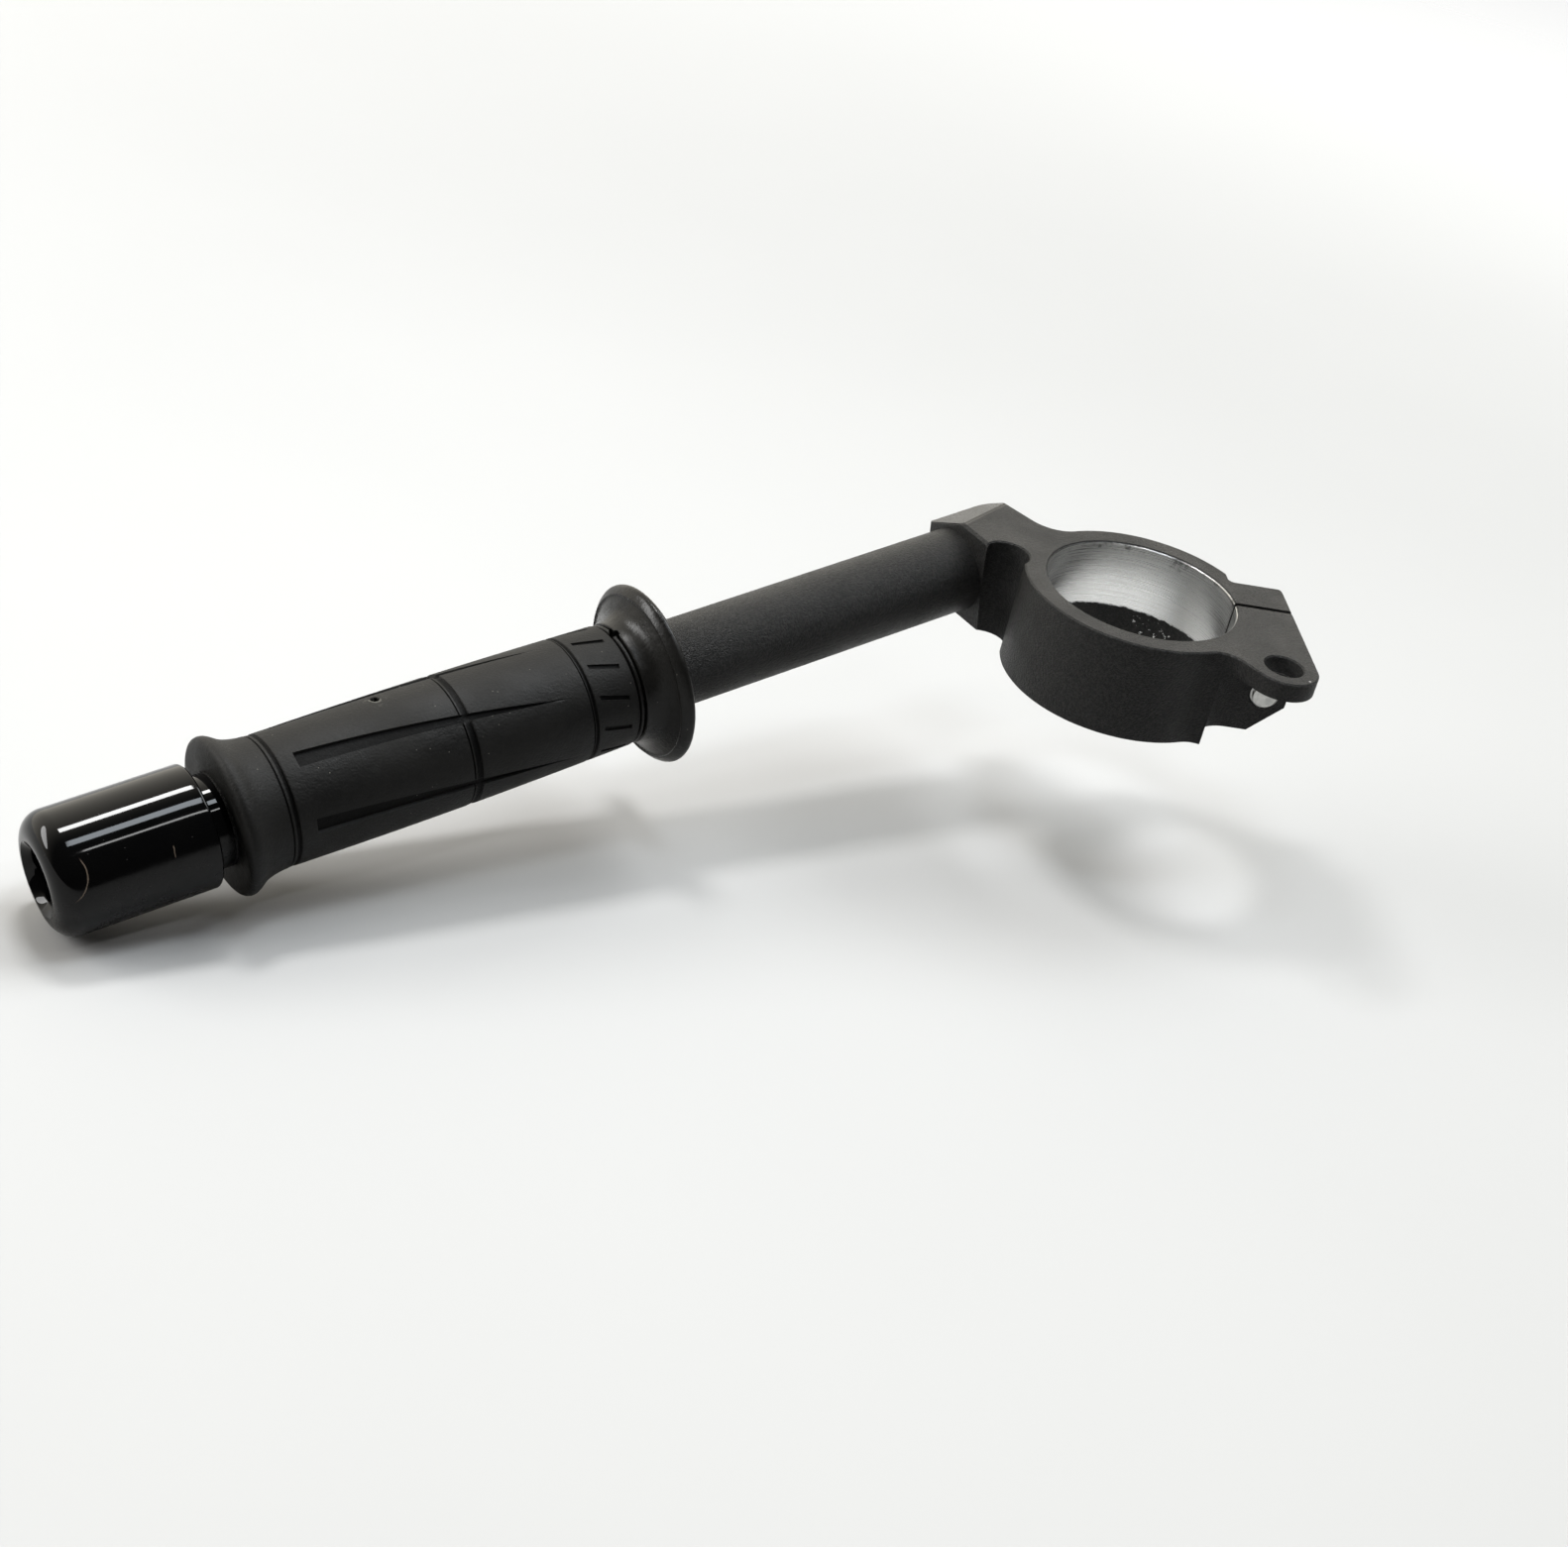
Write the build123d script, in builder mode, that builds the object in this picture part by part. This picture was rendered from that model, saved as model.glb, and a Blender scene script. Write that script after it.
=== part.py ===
"""Left hand clip on handlebar: a split fork clamp with a drooping bar, rubber grip and bar end weight.

Frame: origin on the axis of the fork tube, half way up the clamp. +Z runs up the fork tube, +X points
inboard along the bar seen from above, and +Y points across to the bar's side of the fork tube.
All sizes are millimetres. "Reach" is a distance along the bar from the middle of its socket.
"""
import os
from math import cos, radians, sin, sqrt, tan

from build123d import *

# Bar
bar_radius = 11.1            # 7/8 inch bar
bar_wall = 3.6
bar_droop = 10.5             # degrees below the plane of the clamp
bar_setback = 18.9           # the middle of the socket lies this far outboard of the fork axis
bar_gap = 0.9                # between the ring wall and the near side of the bar, seen from above
socket_depth = 14.0
mouth_reach = 6.3            # middle of the socket to its mouth
press_clearance = 0.02
same_size = 1e-6             # two sizes nearer than this are one size

# Fork clamp: ring, boss and neck
fork_radius = 25.0
ring_wall = 6.0
socket_cover = 2.4           # metal over and under the bar at the middle of its socket
bore_chamfer = 0.5
edge_break = 0.4
boss_side_wall = 1.2
boss_back = 12.4             # middle of the socket to the blind side of the boss
boss_back_lean = 10.0        # degrees
boss_corner = 3.0
neck_fillet = 9.0
facet_wall = 1.45            # thinnest metal under the two long facets of the boss
facet_lean = 27.5            # degrees from level
notch_radius = 5.8
notch_wall = 0.7             # between the notch and the socket

# Fork clamp: slit, ears and tab
slit_angle = -31.0           # degrees from +X
slit_gap = 1.5
ear_length = 9.6             # ring wall to the ears' end
ear_corner = 1.5
ear_chamfer = 8.0            # under the ears' ends
head_ear = 12.6              # slit plane to the seat of the bolt head
seat_room = 8.2              # bolt axis to the wall at the end of the seat
seat_corner = 1.5
thread_ear = 16.5            # slit plane to the face where the thread comes out
tab_thickness = 5.0
tab_wall = 4.0               # around the tab's hole
tab_hole_radius = 5.0
tab_hole_chamfer = 0.4
tab_span = 13.2              # thread ear's face to the tab's hole
tab_lean = 38.0              # degrees that the tab's long edge leans from the slit's square
tab_root_fillet = 6.5
pocket_room = 16.8           # bolt axis to the end of the pocket under the tab
pocket_corner = 9.0
pocket_roof_fillet = 3.0

# Pinch bolt, M8 socket head
bolt_radius = 4.0
bolt_length = 30.0
bolt_drop = 2.5              # bolt axis below the middle of the clamp
bolt_inset = 6.2             # bolt axis to the ears' end
bolt_slip = 0.25             # clearance in the head ear
bolt_head_radius = 6.5
bolt_head_height = 8.0
bolt_key = 6.0               # hexagon across its flats
bolt_key_depth = 4.5
bolt_tip = 0.8

# Grip
grip_clearance = 0.05
grip_start = 100.9           # reach of the flange's back
flange_radius = 22.8
flange_rim = 3.5             # width of the rim
flange_edge = 1.0            # rounding at the rim's back
flange_taper = 1.9           # the rim narrows by this much towards the palm
flare_length = 5.7           # rim to the root of the flare
flare_hollow = 0.3           # how near the flare's curve comes to its inner corner
collar_width = 2.4           # flare to the band
collar_line_width = 0.6      # each of the collar's two grooves
collar_line_depth = 0.95
collar_bead_drop = 0.2       # bead between them, below the band
band_radius = 15.3
band_length = 11.9
hand_radius = 16.15          # fattest part of the grip
hand_length = 78.0           # band to the lip groove
hand_rise = 0.3              # from the band to the palm's inner end
hand_fall = 0.2              # from the fattest part to the palm's outer end
ring_groove_place = 32.1     # band to the ring groove
ring_groove_width = 1.4
end_groove_width = 0.9       # grooves at the palm's ends
groove_depth = 0.6
lip_radius = 19.2
lip_length = 13.3
lip_hollow = 0.7             # rise of the lip half way along it
lip_edge = 0.4
lip_rounding = 1.4
wedge_count = 6
wedge_width = 4.0            # at its square end
wedge_depth = 0.8
wedge_start = 5.0            # band to the wedge's tip
wedge_end_gap = 4.3          # wedge's square end to the lip groove
wedge_phase = 49.5           # degrees round the bar from the top, at the tip
wedge_twist = 26.0           # degrees from the tip to the square end
dash_count = 12
dash_width = 1.15
dash_length = 7.8
dash_lean = 19.0             # degrees
dash_phase = 1.5
dash_depth = 0.5

# Bar end weight and what holds it
grip_overhang = 0.3          # tube's end past the lip
neck_radius = 11.25
neck_length = 4.4
weight_radius = 14.85
weight_length = 37.9
weight_rounding = 5.5
weight_edge = 0.6
recess_radius = 7.25
recess_depth = 22.0
recess_mouth = 9.0           # radius of the countersunk mouth
spigot_length = 8.0
spigot_clearance = 0.4
screw_radius = 3.0
screw_slip = 0.3
screw_head_radius = 5.0
screw_head_height = 6.0
screw_key = 5.0
screw_key_depth = 3.0
screw_grip = 18.0            # thread inside the inner weight
inner_weight_length = 86.0
inner_weight_clearance = 0.9
damper_width = 6.0
damper_groove = 1.6
damper_clearance = 0.05
damper_inset = 16.0          # inner weight's ends to its rings
clip_width = 6.0
clip_thickness = 0.8
clip_groove = 1.0
clip_opening = 90.0          # degrees
clip_clearance = 0.05
button_radius = 2.3
button_clearance = 0.2
button_sink = 0.8            # button's end below the outside of the tube
retainer_inset = 15.0        # tube's end to its retainer hole

# Holes under the tube
drain_radius = 1.5
drain_place = 9.5            # mouth of the socket to the drain hole
locator_radius = 2.5         # takes the pin of the switch housing
locator_place = 65.0

# Derived sizes of the clamp
ring_radius = fork_radius + ring_wall
clamp_height = 2 * (bar_radius + socket_cover)
clamp_top = clamp_height / 2
ear_reach = ring_radius + ear_length
bolt_reach = ear_reach - bolt_inset
tab_radius = tab_hole_radius + tab_wall
tab_along = ear_reach - tab_radius
tab_across = -(thread_ear + tab_span)

# Bar frame: the bar starts at the middle of its socket and runs outboard and down
droop = radians(bar_droop)
bar_y = ring_radius + bar_gap + bar_radius
bar_middle = Vector(-bar_setback, bar_y, 0)
outboard = Vector(-cos(droop), 0, -sin(droop))
upward = Vector(-sin(droop), 0, cos(droop))
bar_axis = Axis(bar_middle, outboard)
bar_profile = Plane(bar_middle, x_dir=outboard, z_dir=(0, 1, 0))

# Slit frame: x runs out along the slit, y across it towards the bolt head's ear
slit_plan = Plane.XY.rotated((0, 0, slit_angle))
slit_section = Plane((0, 0, 0), x_dir=slit_plan.x_dir, z_dir=-slit_plan.y_dir)
slit_across = Axis((0, 0, 0), slit_plan.y_dir)

# Reaches along the bar
flare_end = grip_start + flange_rim + flare_length
band_start = flare_end + collar_width
hand_start = band_start + band_length
hand_end = hand_start + hand_length
grip_end = hand_end + lip_length
tube_start = mouth_reach - socket_depth
tube_end = grip_end + grip_overhang
weight_start = tube_end + neck_length
weight_end = weight_start + weight_length
screw_seat = weight_end - recess_depth
inner_end = tube_end - spigot_length
inner_start = inner_end - inner_weight_length
retainer_reach = tube_end - retainer_inset

# Radii inside the bar
tube_bore = bar_radius - bar_wall
inner_radius = tube_bore - inner_weight_clearance
damper_seat = inner_radius - damper_groove
clip_seat = inner_radius - clip_groove


def across_bar(reach):
    """Plane square to the bar at a reach: x towards the rider's near side, y up, z outboard."""
    return Plane(bar_middle + outboard * reach, x_dir=(0, -1, 0), z_dir=outboard)


def round_bar(reach, turn, radius):
    """Plane touching a cylinder round the bar, with x outboard; turn is in degrees from the top."""
    angle = radians(turn)
    radial = upward * cos(angle) + Vector(0, -1, 0) * sin(angle)
    return Plane(bar_middle + outboard * reach + radial * radius, x_dir=outboard, z_dir=radial)


def slit_point(along, across):
    """A place in the slit's frame, as seen from above in the clamp's frame."""
    return slit_plan.from_local_coords(Vector(along, across, 0))


def ring_meeting(start, direction):
    """Where a line from outside first meets the ring's outer wall, seen from above."""
    middle = -start.dot(direction)
    return start + direction * (middle - sqrt(middle**2 - start.dot(start) + ring_radius**2))


def corner(sketch, place):
    """The vertex of a sketch that is nearest to a place."""
    return sketch.vertices().sort_by_distance(place)[0]


def rims(part, radius):
    """The round edges of a part that have this radius."""
    edges = part.edges().filter_by(GeomType.CIRCLE)
    return edges.filter_by(lambda edge: abs(edge.radius - radius) < same_size)


# Outline of the clamp seen from above: boss and neck
notch_x = bar_middle.X - mouth_reach * cos(droop)
notch_y = bar_y - bar_radius - notch_wall - notch_radius
boss_far = bar_y + bar_radius + boss_side_wall
boss_out = notch_x - 2 * notch_radius
back_lean = radians(boss_back_lean)
back_run = Vector(sin(back_lean), -cos(back_lean), 0)
back_corner = Vector(bar_middle.X + boss_back - tan(back_lean) * (boss_far - bar_y), boss_far, 0)
neck_corner = ring_meeting(back_corner, back_run)

# Outline of the clamp seen from above: ears and tab
lean = radians(tab_lean)
tab_touch = slit_point(tab_along - tab_radius * cos(lean), tab_across - tab_radius * sin(lean))
tab_run = slit_point(-sin(lean), cos(lean))
tab_corner = ring_meeting(tab_touch, tab_run)
tab_low = slit_point(tab_along, tab_across - tab_radius)
tab_side = slit_point(ear_reach, tab_across)
ear_corner_place = slit_point(ear_reach, head_ear)
seat_start = slit_point(bolt_reach - seat_room, head_ear)

# Pocket milled out under the tab, so that the bolt's thread comes out on a flat face
pocket_start = bolt_reach - pocket_room
pocket_height = clamp_height - tab_thickness
with BuildPart() as ear_pocket:
    with BuildSketch(slit_plan.offset(-clamp_top)) as pocket_plan:
        with Locations((pocket_start, -thread_ear)):
            Rectangle(2 * ear_reach, 2 * ear_reach, align=(Align.MIN, Align.MAX))
        fillet(corner(pocket_plan, (pocket_start, -thread_ear)), pocket_corner)
    extrude(amount=pocket_height)
    roof = ear_pocket.faces().sort_by(Axis.Z)[-1]
    pocket_end = slit_point(pocket_start, -2 * thread_ear) + Vector(0, 0, clamp_top - tab_thickness)
    fillet(roof.edges().sort_by_distance(pocket_end)[0], pocket_roof_fillet)

# Fork clamp
with BuildPart() as fork_clamp:
    with BuildSketch(Plane.XY.offset(-clamp_top)) as outline:
        Circle(ring_radius)
        with BuildLine():
            Polyline(
                (boss_out, notch_y),
                (notch_x, notch_y),
                (0, 0),
                neck_corner + back_run * ring_wall / 2,
                back_corner,
                (boss_out, boss_far),
                close=True,
            )
        make_face()
        with BuildLine():
            Line(tab_corner + tab_run * ring_wall / 2, tab_touch)
            ThreePointArc(tab_touch, tab_low, tab_side)
            Polyline(
                tab_side,
                ear_corner_place,
                slit_point(0, head_ear),
                tab_corner + tab_run * ring_wall / 2,
            )
        make_face()
        with Locations(Location(seat_start, (0, 0, slit_angle))):
            Rectangle(ear_reach, ear_reach, align=(Align.MIN, Align.MIN), mode=Mode.SUBTRACT)
        fillet(corner(outline, neck_corner), neck_fillet)
        fillet(corner(outline, back_corner), boss_corner)
        fillet(corner(outline, tab_corner), tab_root_fillet)
        fillet(corner(outline, seat_start), seat_corner)
        fillet(corner(outline, ear_corner_place), ear_corner)
    extrude(amount=clamp_height)

    # Round notch that lifts the near corner of the boss clear of the ring
    with BuildSketch(Plane.XY.offset(-clamp_top)):
        with Locations((notch_x, notch_y)):
            Circle(notch_radius)
    extrude(amount=clamp_height, mode=Mode.SUBTRACT)
    chamfer(fork_clamp.faces().filter_by(Axis.Z).edges(), edge_break)

    # Mouth face square to the bar, and the two long facets along the bar's far side
    far_room = boss_far - bar_y + edge_break
    with BuildSketch(across_bar(mouth_reach)):
        with Locations((bar_y - notch_y, 0)):
            Rectangle(far_room + bar_y - notch_y, 2 * clamp_height, align=(Align.MAX, Align.CENTER))
    extrude(amount=4 * notch_radius, mode=Mode.SUBTRACT)
    with BuildSketch(across_bar(mouth_reach)):
        facet_place = Vector(0, bar_radius + facet_wall).rotate(Axis.Z, facet_lean)
        with Locations(Location(facet_place, (0, 0, facet_lean))):
            Rectangle(2 * clamp_height, clamp_height, align=(Align.CENTER, Align.MIN))
        with Locations(Location((facet_place.X, -facet_place.Y), (0, 0, -facet_lean))):
            Rectangle(2 * clamp_height, clamp_height, align=(Align.CENTER, Align.MAX))
    extrude(amount=2 * (mouth_reach + boss_back), both=True, mode=Mode.SUBTRACT)
    mouth = across_bar(mouth_reach).origin
    mouth_edges = fork_clamp.faces().sort_by_distance(mouth)[0].edges()
    far_edge = mouth_edges.sort_by(Axis.Y)[-1]
    chamfer([*mouth_edges.sort_by(Axis.Z)[-2:], far_edge], 2 * edge_break)

    # Blind socket for the bar
    with BuildSketch(across_bar(mouth_reach)):
        Circle(bar_radius + press_clearance)
    extrude(amount=-socket_depth, mode=Mode.SUBTRACT)

    # Bore for the fork tube
    with BuildSketch(Plane.XY.offset(-clamp_top)):
        Circle(fork_radius)
    extrude(amount=clamp_height, mode=Mode.SUBTRACT)
    chamfer(rims(fork_clamp, fork_radius), bore_chamfer)

    # Slit, pocket under the tab and the sloping undersides of the ears
    with BuildSketch(slit_plan.offset(-clamp_top)):
        Rectangle(2 * ear_reach, slit_gap, align=(Align.MIN, Align.CENTER))
    extrude(amount=clamp_height, mode=Mode.SUBTRACT)
    add(ear_pocket.part, mode=Mode.SUBTRACT)
    with BuildSketch(slit_section):
        with BuildLine():
            Polyline(
                (ear_reach - 2 * ear_chamfer, -clamp_top - ear_chamfer),
                (ear_reach + ear_chamfer, -clamp_top + 2 * ear_chamfer),
                (ear_reach + ear_chamfer, -clamp_top - ear_chamfer),
                close=True,
            )
        make_face()
    extrude(amount=head_ear + thread_ear, both=True, mode=Mode.SUBTRACT)

    # Bolt holes: a slip fit in one ear, the thread's bore in the other
    with BuildSketch(slit_section):
        with Locations((bolt_reach, -bolt_drop)):
            Circle(bolt_radius + bolt_slip)
    extrude(amount=-2 * head_ear, mode=Mode.SUBTRACT)
    with BuildSketch(slit_section):
        with Locations((bolt_reach, -bolt_drop)):
            Circle(bolt_radius + press_clearance)
    extrude(amount=2 * thread_ear, mode=Mode.SUBTRACT)

    # Hole through the tab
    with BuildSketch(slit_plan.offset(clamp_top)):
        with Locations((tab_along, tab_across)):
            Circle(tab_hole_radius)
    extrude(amount=-2 * tab_thickness, mode=Mode.SUBTRACT)
    chamfer(rims(fork_clamp, tab_hole_radius), tab_hole_chamfer)

# Pinch bolt
with BuildPart() as pinch_bolt:
    bolt_seat = slit_section.offset(-head_ear)
    with BuildSketch(bolt_seat):
        with Locations((bolt_reach, -bolt_drop)):
            Circle(bolt_radius)
    extrude(amount=bolt_length)
    chamfer(pinch_bolt.edges().sort_by(slit_across)[0], bolt_tip)
    with BuildSketch(bolt_seat):
        with Locations((bolt_reach, -bolt_drop)):
            Circle(bolt_head_radius)
    extrude(amount=-bolt_head_height)
    fillet(pinch_bolt.edges().sort_by(slit_across)[-1], edge_break)
    with BuildSketch(bolt_seat.offset(-bolt_head_height)):
        with Locations((bolt_reach, -bolt_drop)):
            RegularPolygon(bolt_key / 2, 6, major_radius=False)
    extrude(amount=bolt_key_depth, mode=Mode.SUBTRACT)

# Handlebar tube, with its holes on the underside
with BuildPart() as handlebar_tube:
    with BuildSketch(across_bar(tube_start)):
        Circle(bar_radius)
        Circle(tube_bore, mode=Mode.SUBTRACT)
    extrude(amount=tube_end - tube_start)
    for reach, radius in (
        (mouth_reach + drain_place, drain_radius),
        (mouth_reach + locator_place, locator_radius),
        (retainer_reach, button_radius + button_clearance),
    ):
        with BuildSketch(round_bar(reach, 180, 0)):
            Circle(radius)
        extrude(amount=2 * bar_radius, mode=Mode.SUBTRACT)


def hand_curve(depth):
    """The long crowned curve of the grip under the palm, or the same curve sunk by a depth."""
    return ThreePointArc(
        (hand_start, band_radius + hand_rise - depth),
        ((hand_start + hand_end) / 2, hand_radius - depth),
        (hand_end, hand_radius - hand_fall - depth),
    )


# Wedge grooves of the grip, all sunk to one depth
wedge_tip = hand_start + wedge_start
wedge_end = hand_end - wedge_end_gap
wedge_half = (wedge_end - wedge_tip) / 2
wedge_swing = radians(wedge_twist / 2) * hand_radius
wedge_planes = [
    round_bar(wedge_tip + wedge_half, wedge_phase - wedge_twist / 2 + turn * 360 / wedge_count, bar_radius)
    for turn in range(wedge_count)
]
with BuildPart() as wedge_grooves:
    with BuildSketch(*wedge_planes):
        with BuildLine():
            Polyline(
                (-wedge_half, wedge_swing),
                (wedge_half, -wedge_swing - wedge_width / 2),
                (wedge_half, -wedge_swing + wedge_width / 2),
                close=True,
            )
        make_face()
    extrude(amount=hand_radius)
    with BuildSketch(bar_profile):
        with BuildLine():
            floor_line = hand_curve(wedge_depth)
            Polyline(
                floor_line @ 1,
                (hand_end, 2 * hand_radius),
                (hand_start, 2 * hand_radius),
                floor_line @ 0,
            )
        make_face()
    revolve(axis=bar_axis, mode=Mode.INTERSECT)

# Grip
grip_bore = bar_radius + grip_clearance
rim_end = grip_start + flange_rim
lip_root = hand_radius - hand_fall
lip_crest = grip_end - lip_rounding
with BuildPart() as grip:
    with BuildSketch(bar_profile):
        with BuildLine():
            Line((grip_start, grip_bore), (grip_start, flange_radius - flange_edge))
            ThreePointArc(
                (grip_start, flange_radius - flange_edge),
                (grip_start + flange_edge, flange_radius),
                (rim_end, flange_radius - flange_taper),
            )
            ThreePointArc(
                (rim_end, flange_radius - flange_taper),
                (rim_end + flare_length * flare_hollow, band_radius + flare_length * flare_hollow),
                (flare_end, band_radius),
            )
            Line((flare_end, band_radius), (band_start, band_radius))
            Line((band_start, band_radius), (hand_start, band_radius + hand_rise))
            hand_curve(0)
            ThreePointArc(
                (hand_end, lip_root),
                (hand_end + lip_length / 2, lip_root + lip_hollow),
                (lip_crest - lip_rounding, lip_radius - lip_edge),
            )
            ThreePointArc(
                (lip_crest - lip_rounding, lip_radius - lip_edge),
                (lip_crest, lip_radius),
                (grip_end, lip_radius - lip_rounding),
            )
            Polyline(
                (grip_end, lip_radius - lip_rounding),
                (grip_end, grip_bore),
                (grip_start, grip_bore),
            )
        make_face()
    revolve(axis=bar_axis)

    # Collar beside the flare: a low bead between two grooves
    collar_middle = (flare_end + band_start) / 2
    collar_spacing = collar_width - collar_line_width
    with BuildSketch(bar_profile):
        with Locations((collar_middle, band_radius)):
            Rectangle(collar_width, 2 * collar_bead_drop)
            with GridLocations(collar_spacing, 0, 2, 1):
                Rectangle(collar_line_width, 2 * collar_line_depth)
    revolve(axis=bar_axis, mode=Mode.SUBTRACT)

    # Ring grooves: at both ends of the palm and half way along it
    with BuildSketch(bar_profile):
        with Locations((hand_start, band_radius + hand_rise), (hand_end, lip_root)):
            Rectangle(end_groove_width, 2 * groove_depth)
        with Locations((hand_start + ring_groove_place, hand_radius)):
            Rectangle(ring_groove_width, 2 * groove_depth)
    revolve(axis=bar_axis, mode=Mode.SUBTRACT)
    add(wedge_grooves.part, mode=Mode.SUBTRACT)

    # Slanting dashes round the band
    dash_reach = (band_start + hand_start) / 2
    dash_planes = [
        round_bar(dash_reach, dash_phase + turn * 360 / dash_count, band_radius - dash_depth)
        for turn in range(dash_count)
    ]
    with BuildSketch(*dash_planes):
        SlotOverall(dash_length / cos(radians(dash_lean)), dash_width, rotation=-dash_lean)
    extrude(amount=2 * groove_depth + dash_depth, mode=Mode.SUBTRACT)

# Bar end weight
with BuildPart() as bar_end_weight:
    spigot_radius = tube_bore - spigot_clearance
    screw_hole = screw_radius + screw_slip
    with BuildSketch(bar_profile):
        with BuildLine():
            Polyline(
                (inner_end, screw_hole),
                (inner_end, spigot_radius),
                (tube_end, spigot_radius),
                (tube_end, neck_radius),
                (weight_start, neck_radius),
                (weight_start, weight_radius - weight_edge),
                (weight_start + weight_edge, weight_radius),
                (weight_end - weight_rounding, weight_radius),
            )
            RadiusArc(
                (weight_end - weight_rounding, weight_radius),
                (weight_end, weight_radius - weight_rounding),
                weight_rounding,
            )
            Polyline(
                (weight_end, weight_radius - weight_rounding),
                (weight_end, recess_mouth),
                (weight_end - (recess_mouth - recess_radius), recess_radius),
                (screw_seat, recess_radius),
                (screw_seat, screw_hole),
                (inner_end, screw_hole),
            )
        make_face()
    revolve(axis=bar_axis)

# Screw at the bottom of the weight's recess
with BuildPart() as bar_end_screw:
    with BuildSketch(across_bar(inner_end - screw_grip)):
        Circle(screw_radius)
    extrude(amount=screw_seat - inner_end + screw_grip)
    with BuildSketch(across_bar(screw_seat)):
        Circle(screw_head_radius)
    extrude(amount=screw_head_height)
    fillet(bar_end_screw.edges().sort_by(bar_axis)[-1], edge_break)
    with BuildSketch(across_bar(screw_seat + screw_head_height)):
        RegularPolygon(screw_key / 2, 6, major_radius=False)
    extrude(amount=-screw_key_depth, mode=Mode.SUBTRACT)

# Inner weight: a rod with a seat for each damper ring and for the retainer clip
damper_reaches = (inner_start + damper_inset, inner_end - damper_inset)
with BuildPart() as inner_weight:
    with BuildSketch(bar_profile):
        with Locations((inner_start, 0)):
            Rectangle(inner_weight_length, inner_radius, align=(Align.MIN, Align.MIN))
        for reach in damper_reaches:
            with Locations((reach, damper_seat)):
                Rectangle(damper_width, inner_radius, align=(Align.CENTER, Align.MIN), mode=Mode.SUBTRACT)
        with Locations((retainer_reach, clip_seat)):
            Rectangle(clip_width, inner_radius, align=(Align.CENTER, Align.MIN), mode=Mode.SUBTRACT)
        with Locations((inner_end, 0)):
            Rectangle(
                screw_grip + screw_radius,
                screw_radius + press_clearance,
                align=(Align.MAX, Align.MIN),
                mode=Mode.SUBTRACT,
            )
    revolve(axis=bar_axis)


def damper_ring(reach):
    """Rubber ring between the inner weight and the tube."""
    with BuildPart() as ring:
        with BuildSketch(bar_profile):
            with Locations((reach, damper_seat + damper_clearance)):
                Rectangle(
                    damper_width - 2 * damper_clearance,
                    tube_bore - damper_seat - 2 * damper_clearance,
                    align=(Align.CENTER, Align.MIN),
                )
        revolve(axis=bar_axis)
        outer = ring.edges().filter_by(GeomType.CIRCLE).group_by(SortBy.RADIUS)[-1]
        fillet(outer, damper_groove / 2)
    return ring


damper_ring_inner, damper_ring_outer = (damper_ring(reach) for reach in damper_reaches)

# Retainer clip: a spring band, open at the top, whose button sits in the tube's hole
with BuildPart() as retainer_clip:
    clip_bore = clip_seat + clip_clearance
    button_root = clip_bore + clip_thickness / 2
    opening = Vector(0, tube_bore).rotate(Axis.Z, clip_opening / 2)
    with BuildSketch(across_bar(retainer_reach)):
        Circle(clip_bore + clip_thickness)
        Circle(clip_bore, mode=Mode.SUBTRACT)
        with BuildLine():
            Polyline(
                (0, 0),
                (-opening.X, opening.Y),
                (-opening.X, tube_bore),
                (opening.X, tube_bore),
                (opening.X, opening.Y),
                close=True,
            )
        make_face(mode=Mode.SUBTRACT)
    extrude(amount=clip_width / 2 - clip_clearance, both=True)
    with BuildSketch(round_bar(retainer_reach, 180, button_root)):
        Circle(button_radius)
    extrude(amount=bar_radius - button_sink - button_root)
    fillet(retainer_clip.edges().filter_by(GeomType.CIRCLE).sort_by(Axis.Z)[0], button_radius / 3)

os.makedirs("parts", exist_ok=True)
pieces = {
    "fork_clamp": fork_clamp,
    "pinch_bolt": pinch_bolt,
    "handlebar_tube": handlebar_tube,
    "grip": grip,
    "bar_end_weight": bar_end_weight,
    "bar_end_screw": bar_end_screw,
    "inner_weight": inner_weight,
    "damper_ring_inner": damper_ring_inner,
    "damper_ring_outer": damper_ring_outer,
    "retainer_clip": retainer_clip,
}
for name, piece in pieces.items():
    piece.part.label = name
    export_step(piece.part, f"parts/{name}.step")
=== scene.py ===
# %% [markdown]
# # A clip on handlebar
# A clip on handlebar is one half of a motorbike's handlebar. A split ring clamps it to the fork tube, and a short
# bar, a rubber grip and a weight at the bar's end hang off the ring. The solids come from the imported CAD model, so
# this lesson only dresses them: it keeps the solids that are already right, models four pieces again with the
# fine detail that a solid lacks, and gives every piece a material.

from math import atan2, cos, degrees, pi, radians, sin, sqrt

import bmesh
import bpy
from mathutils import Matrix, Vector


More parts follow.
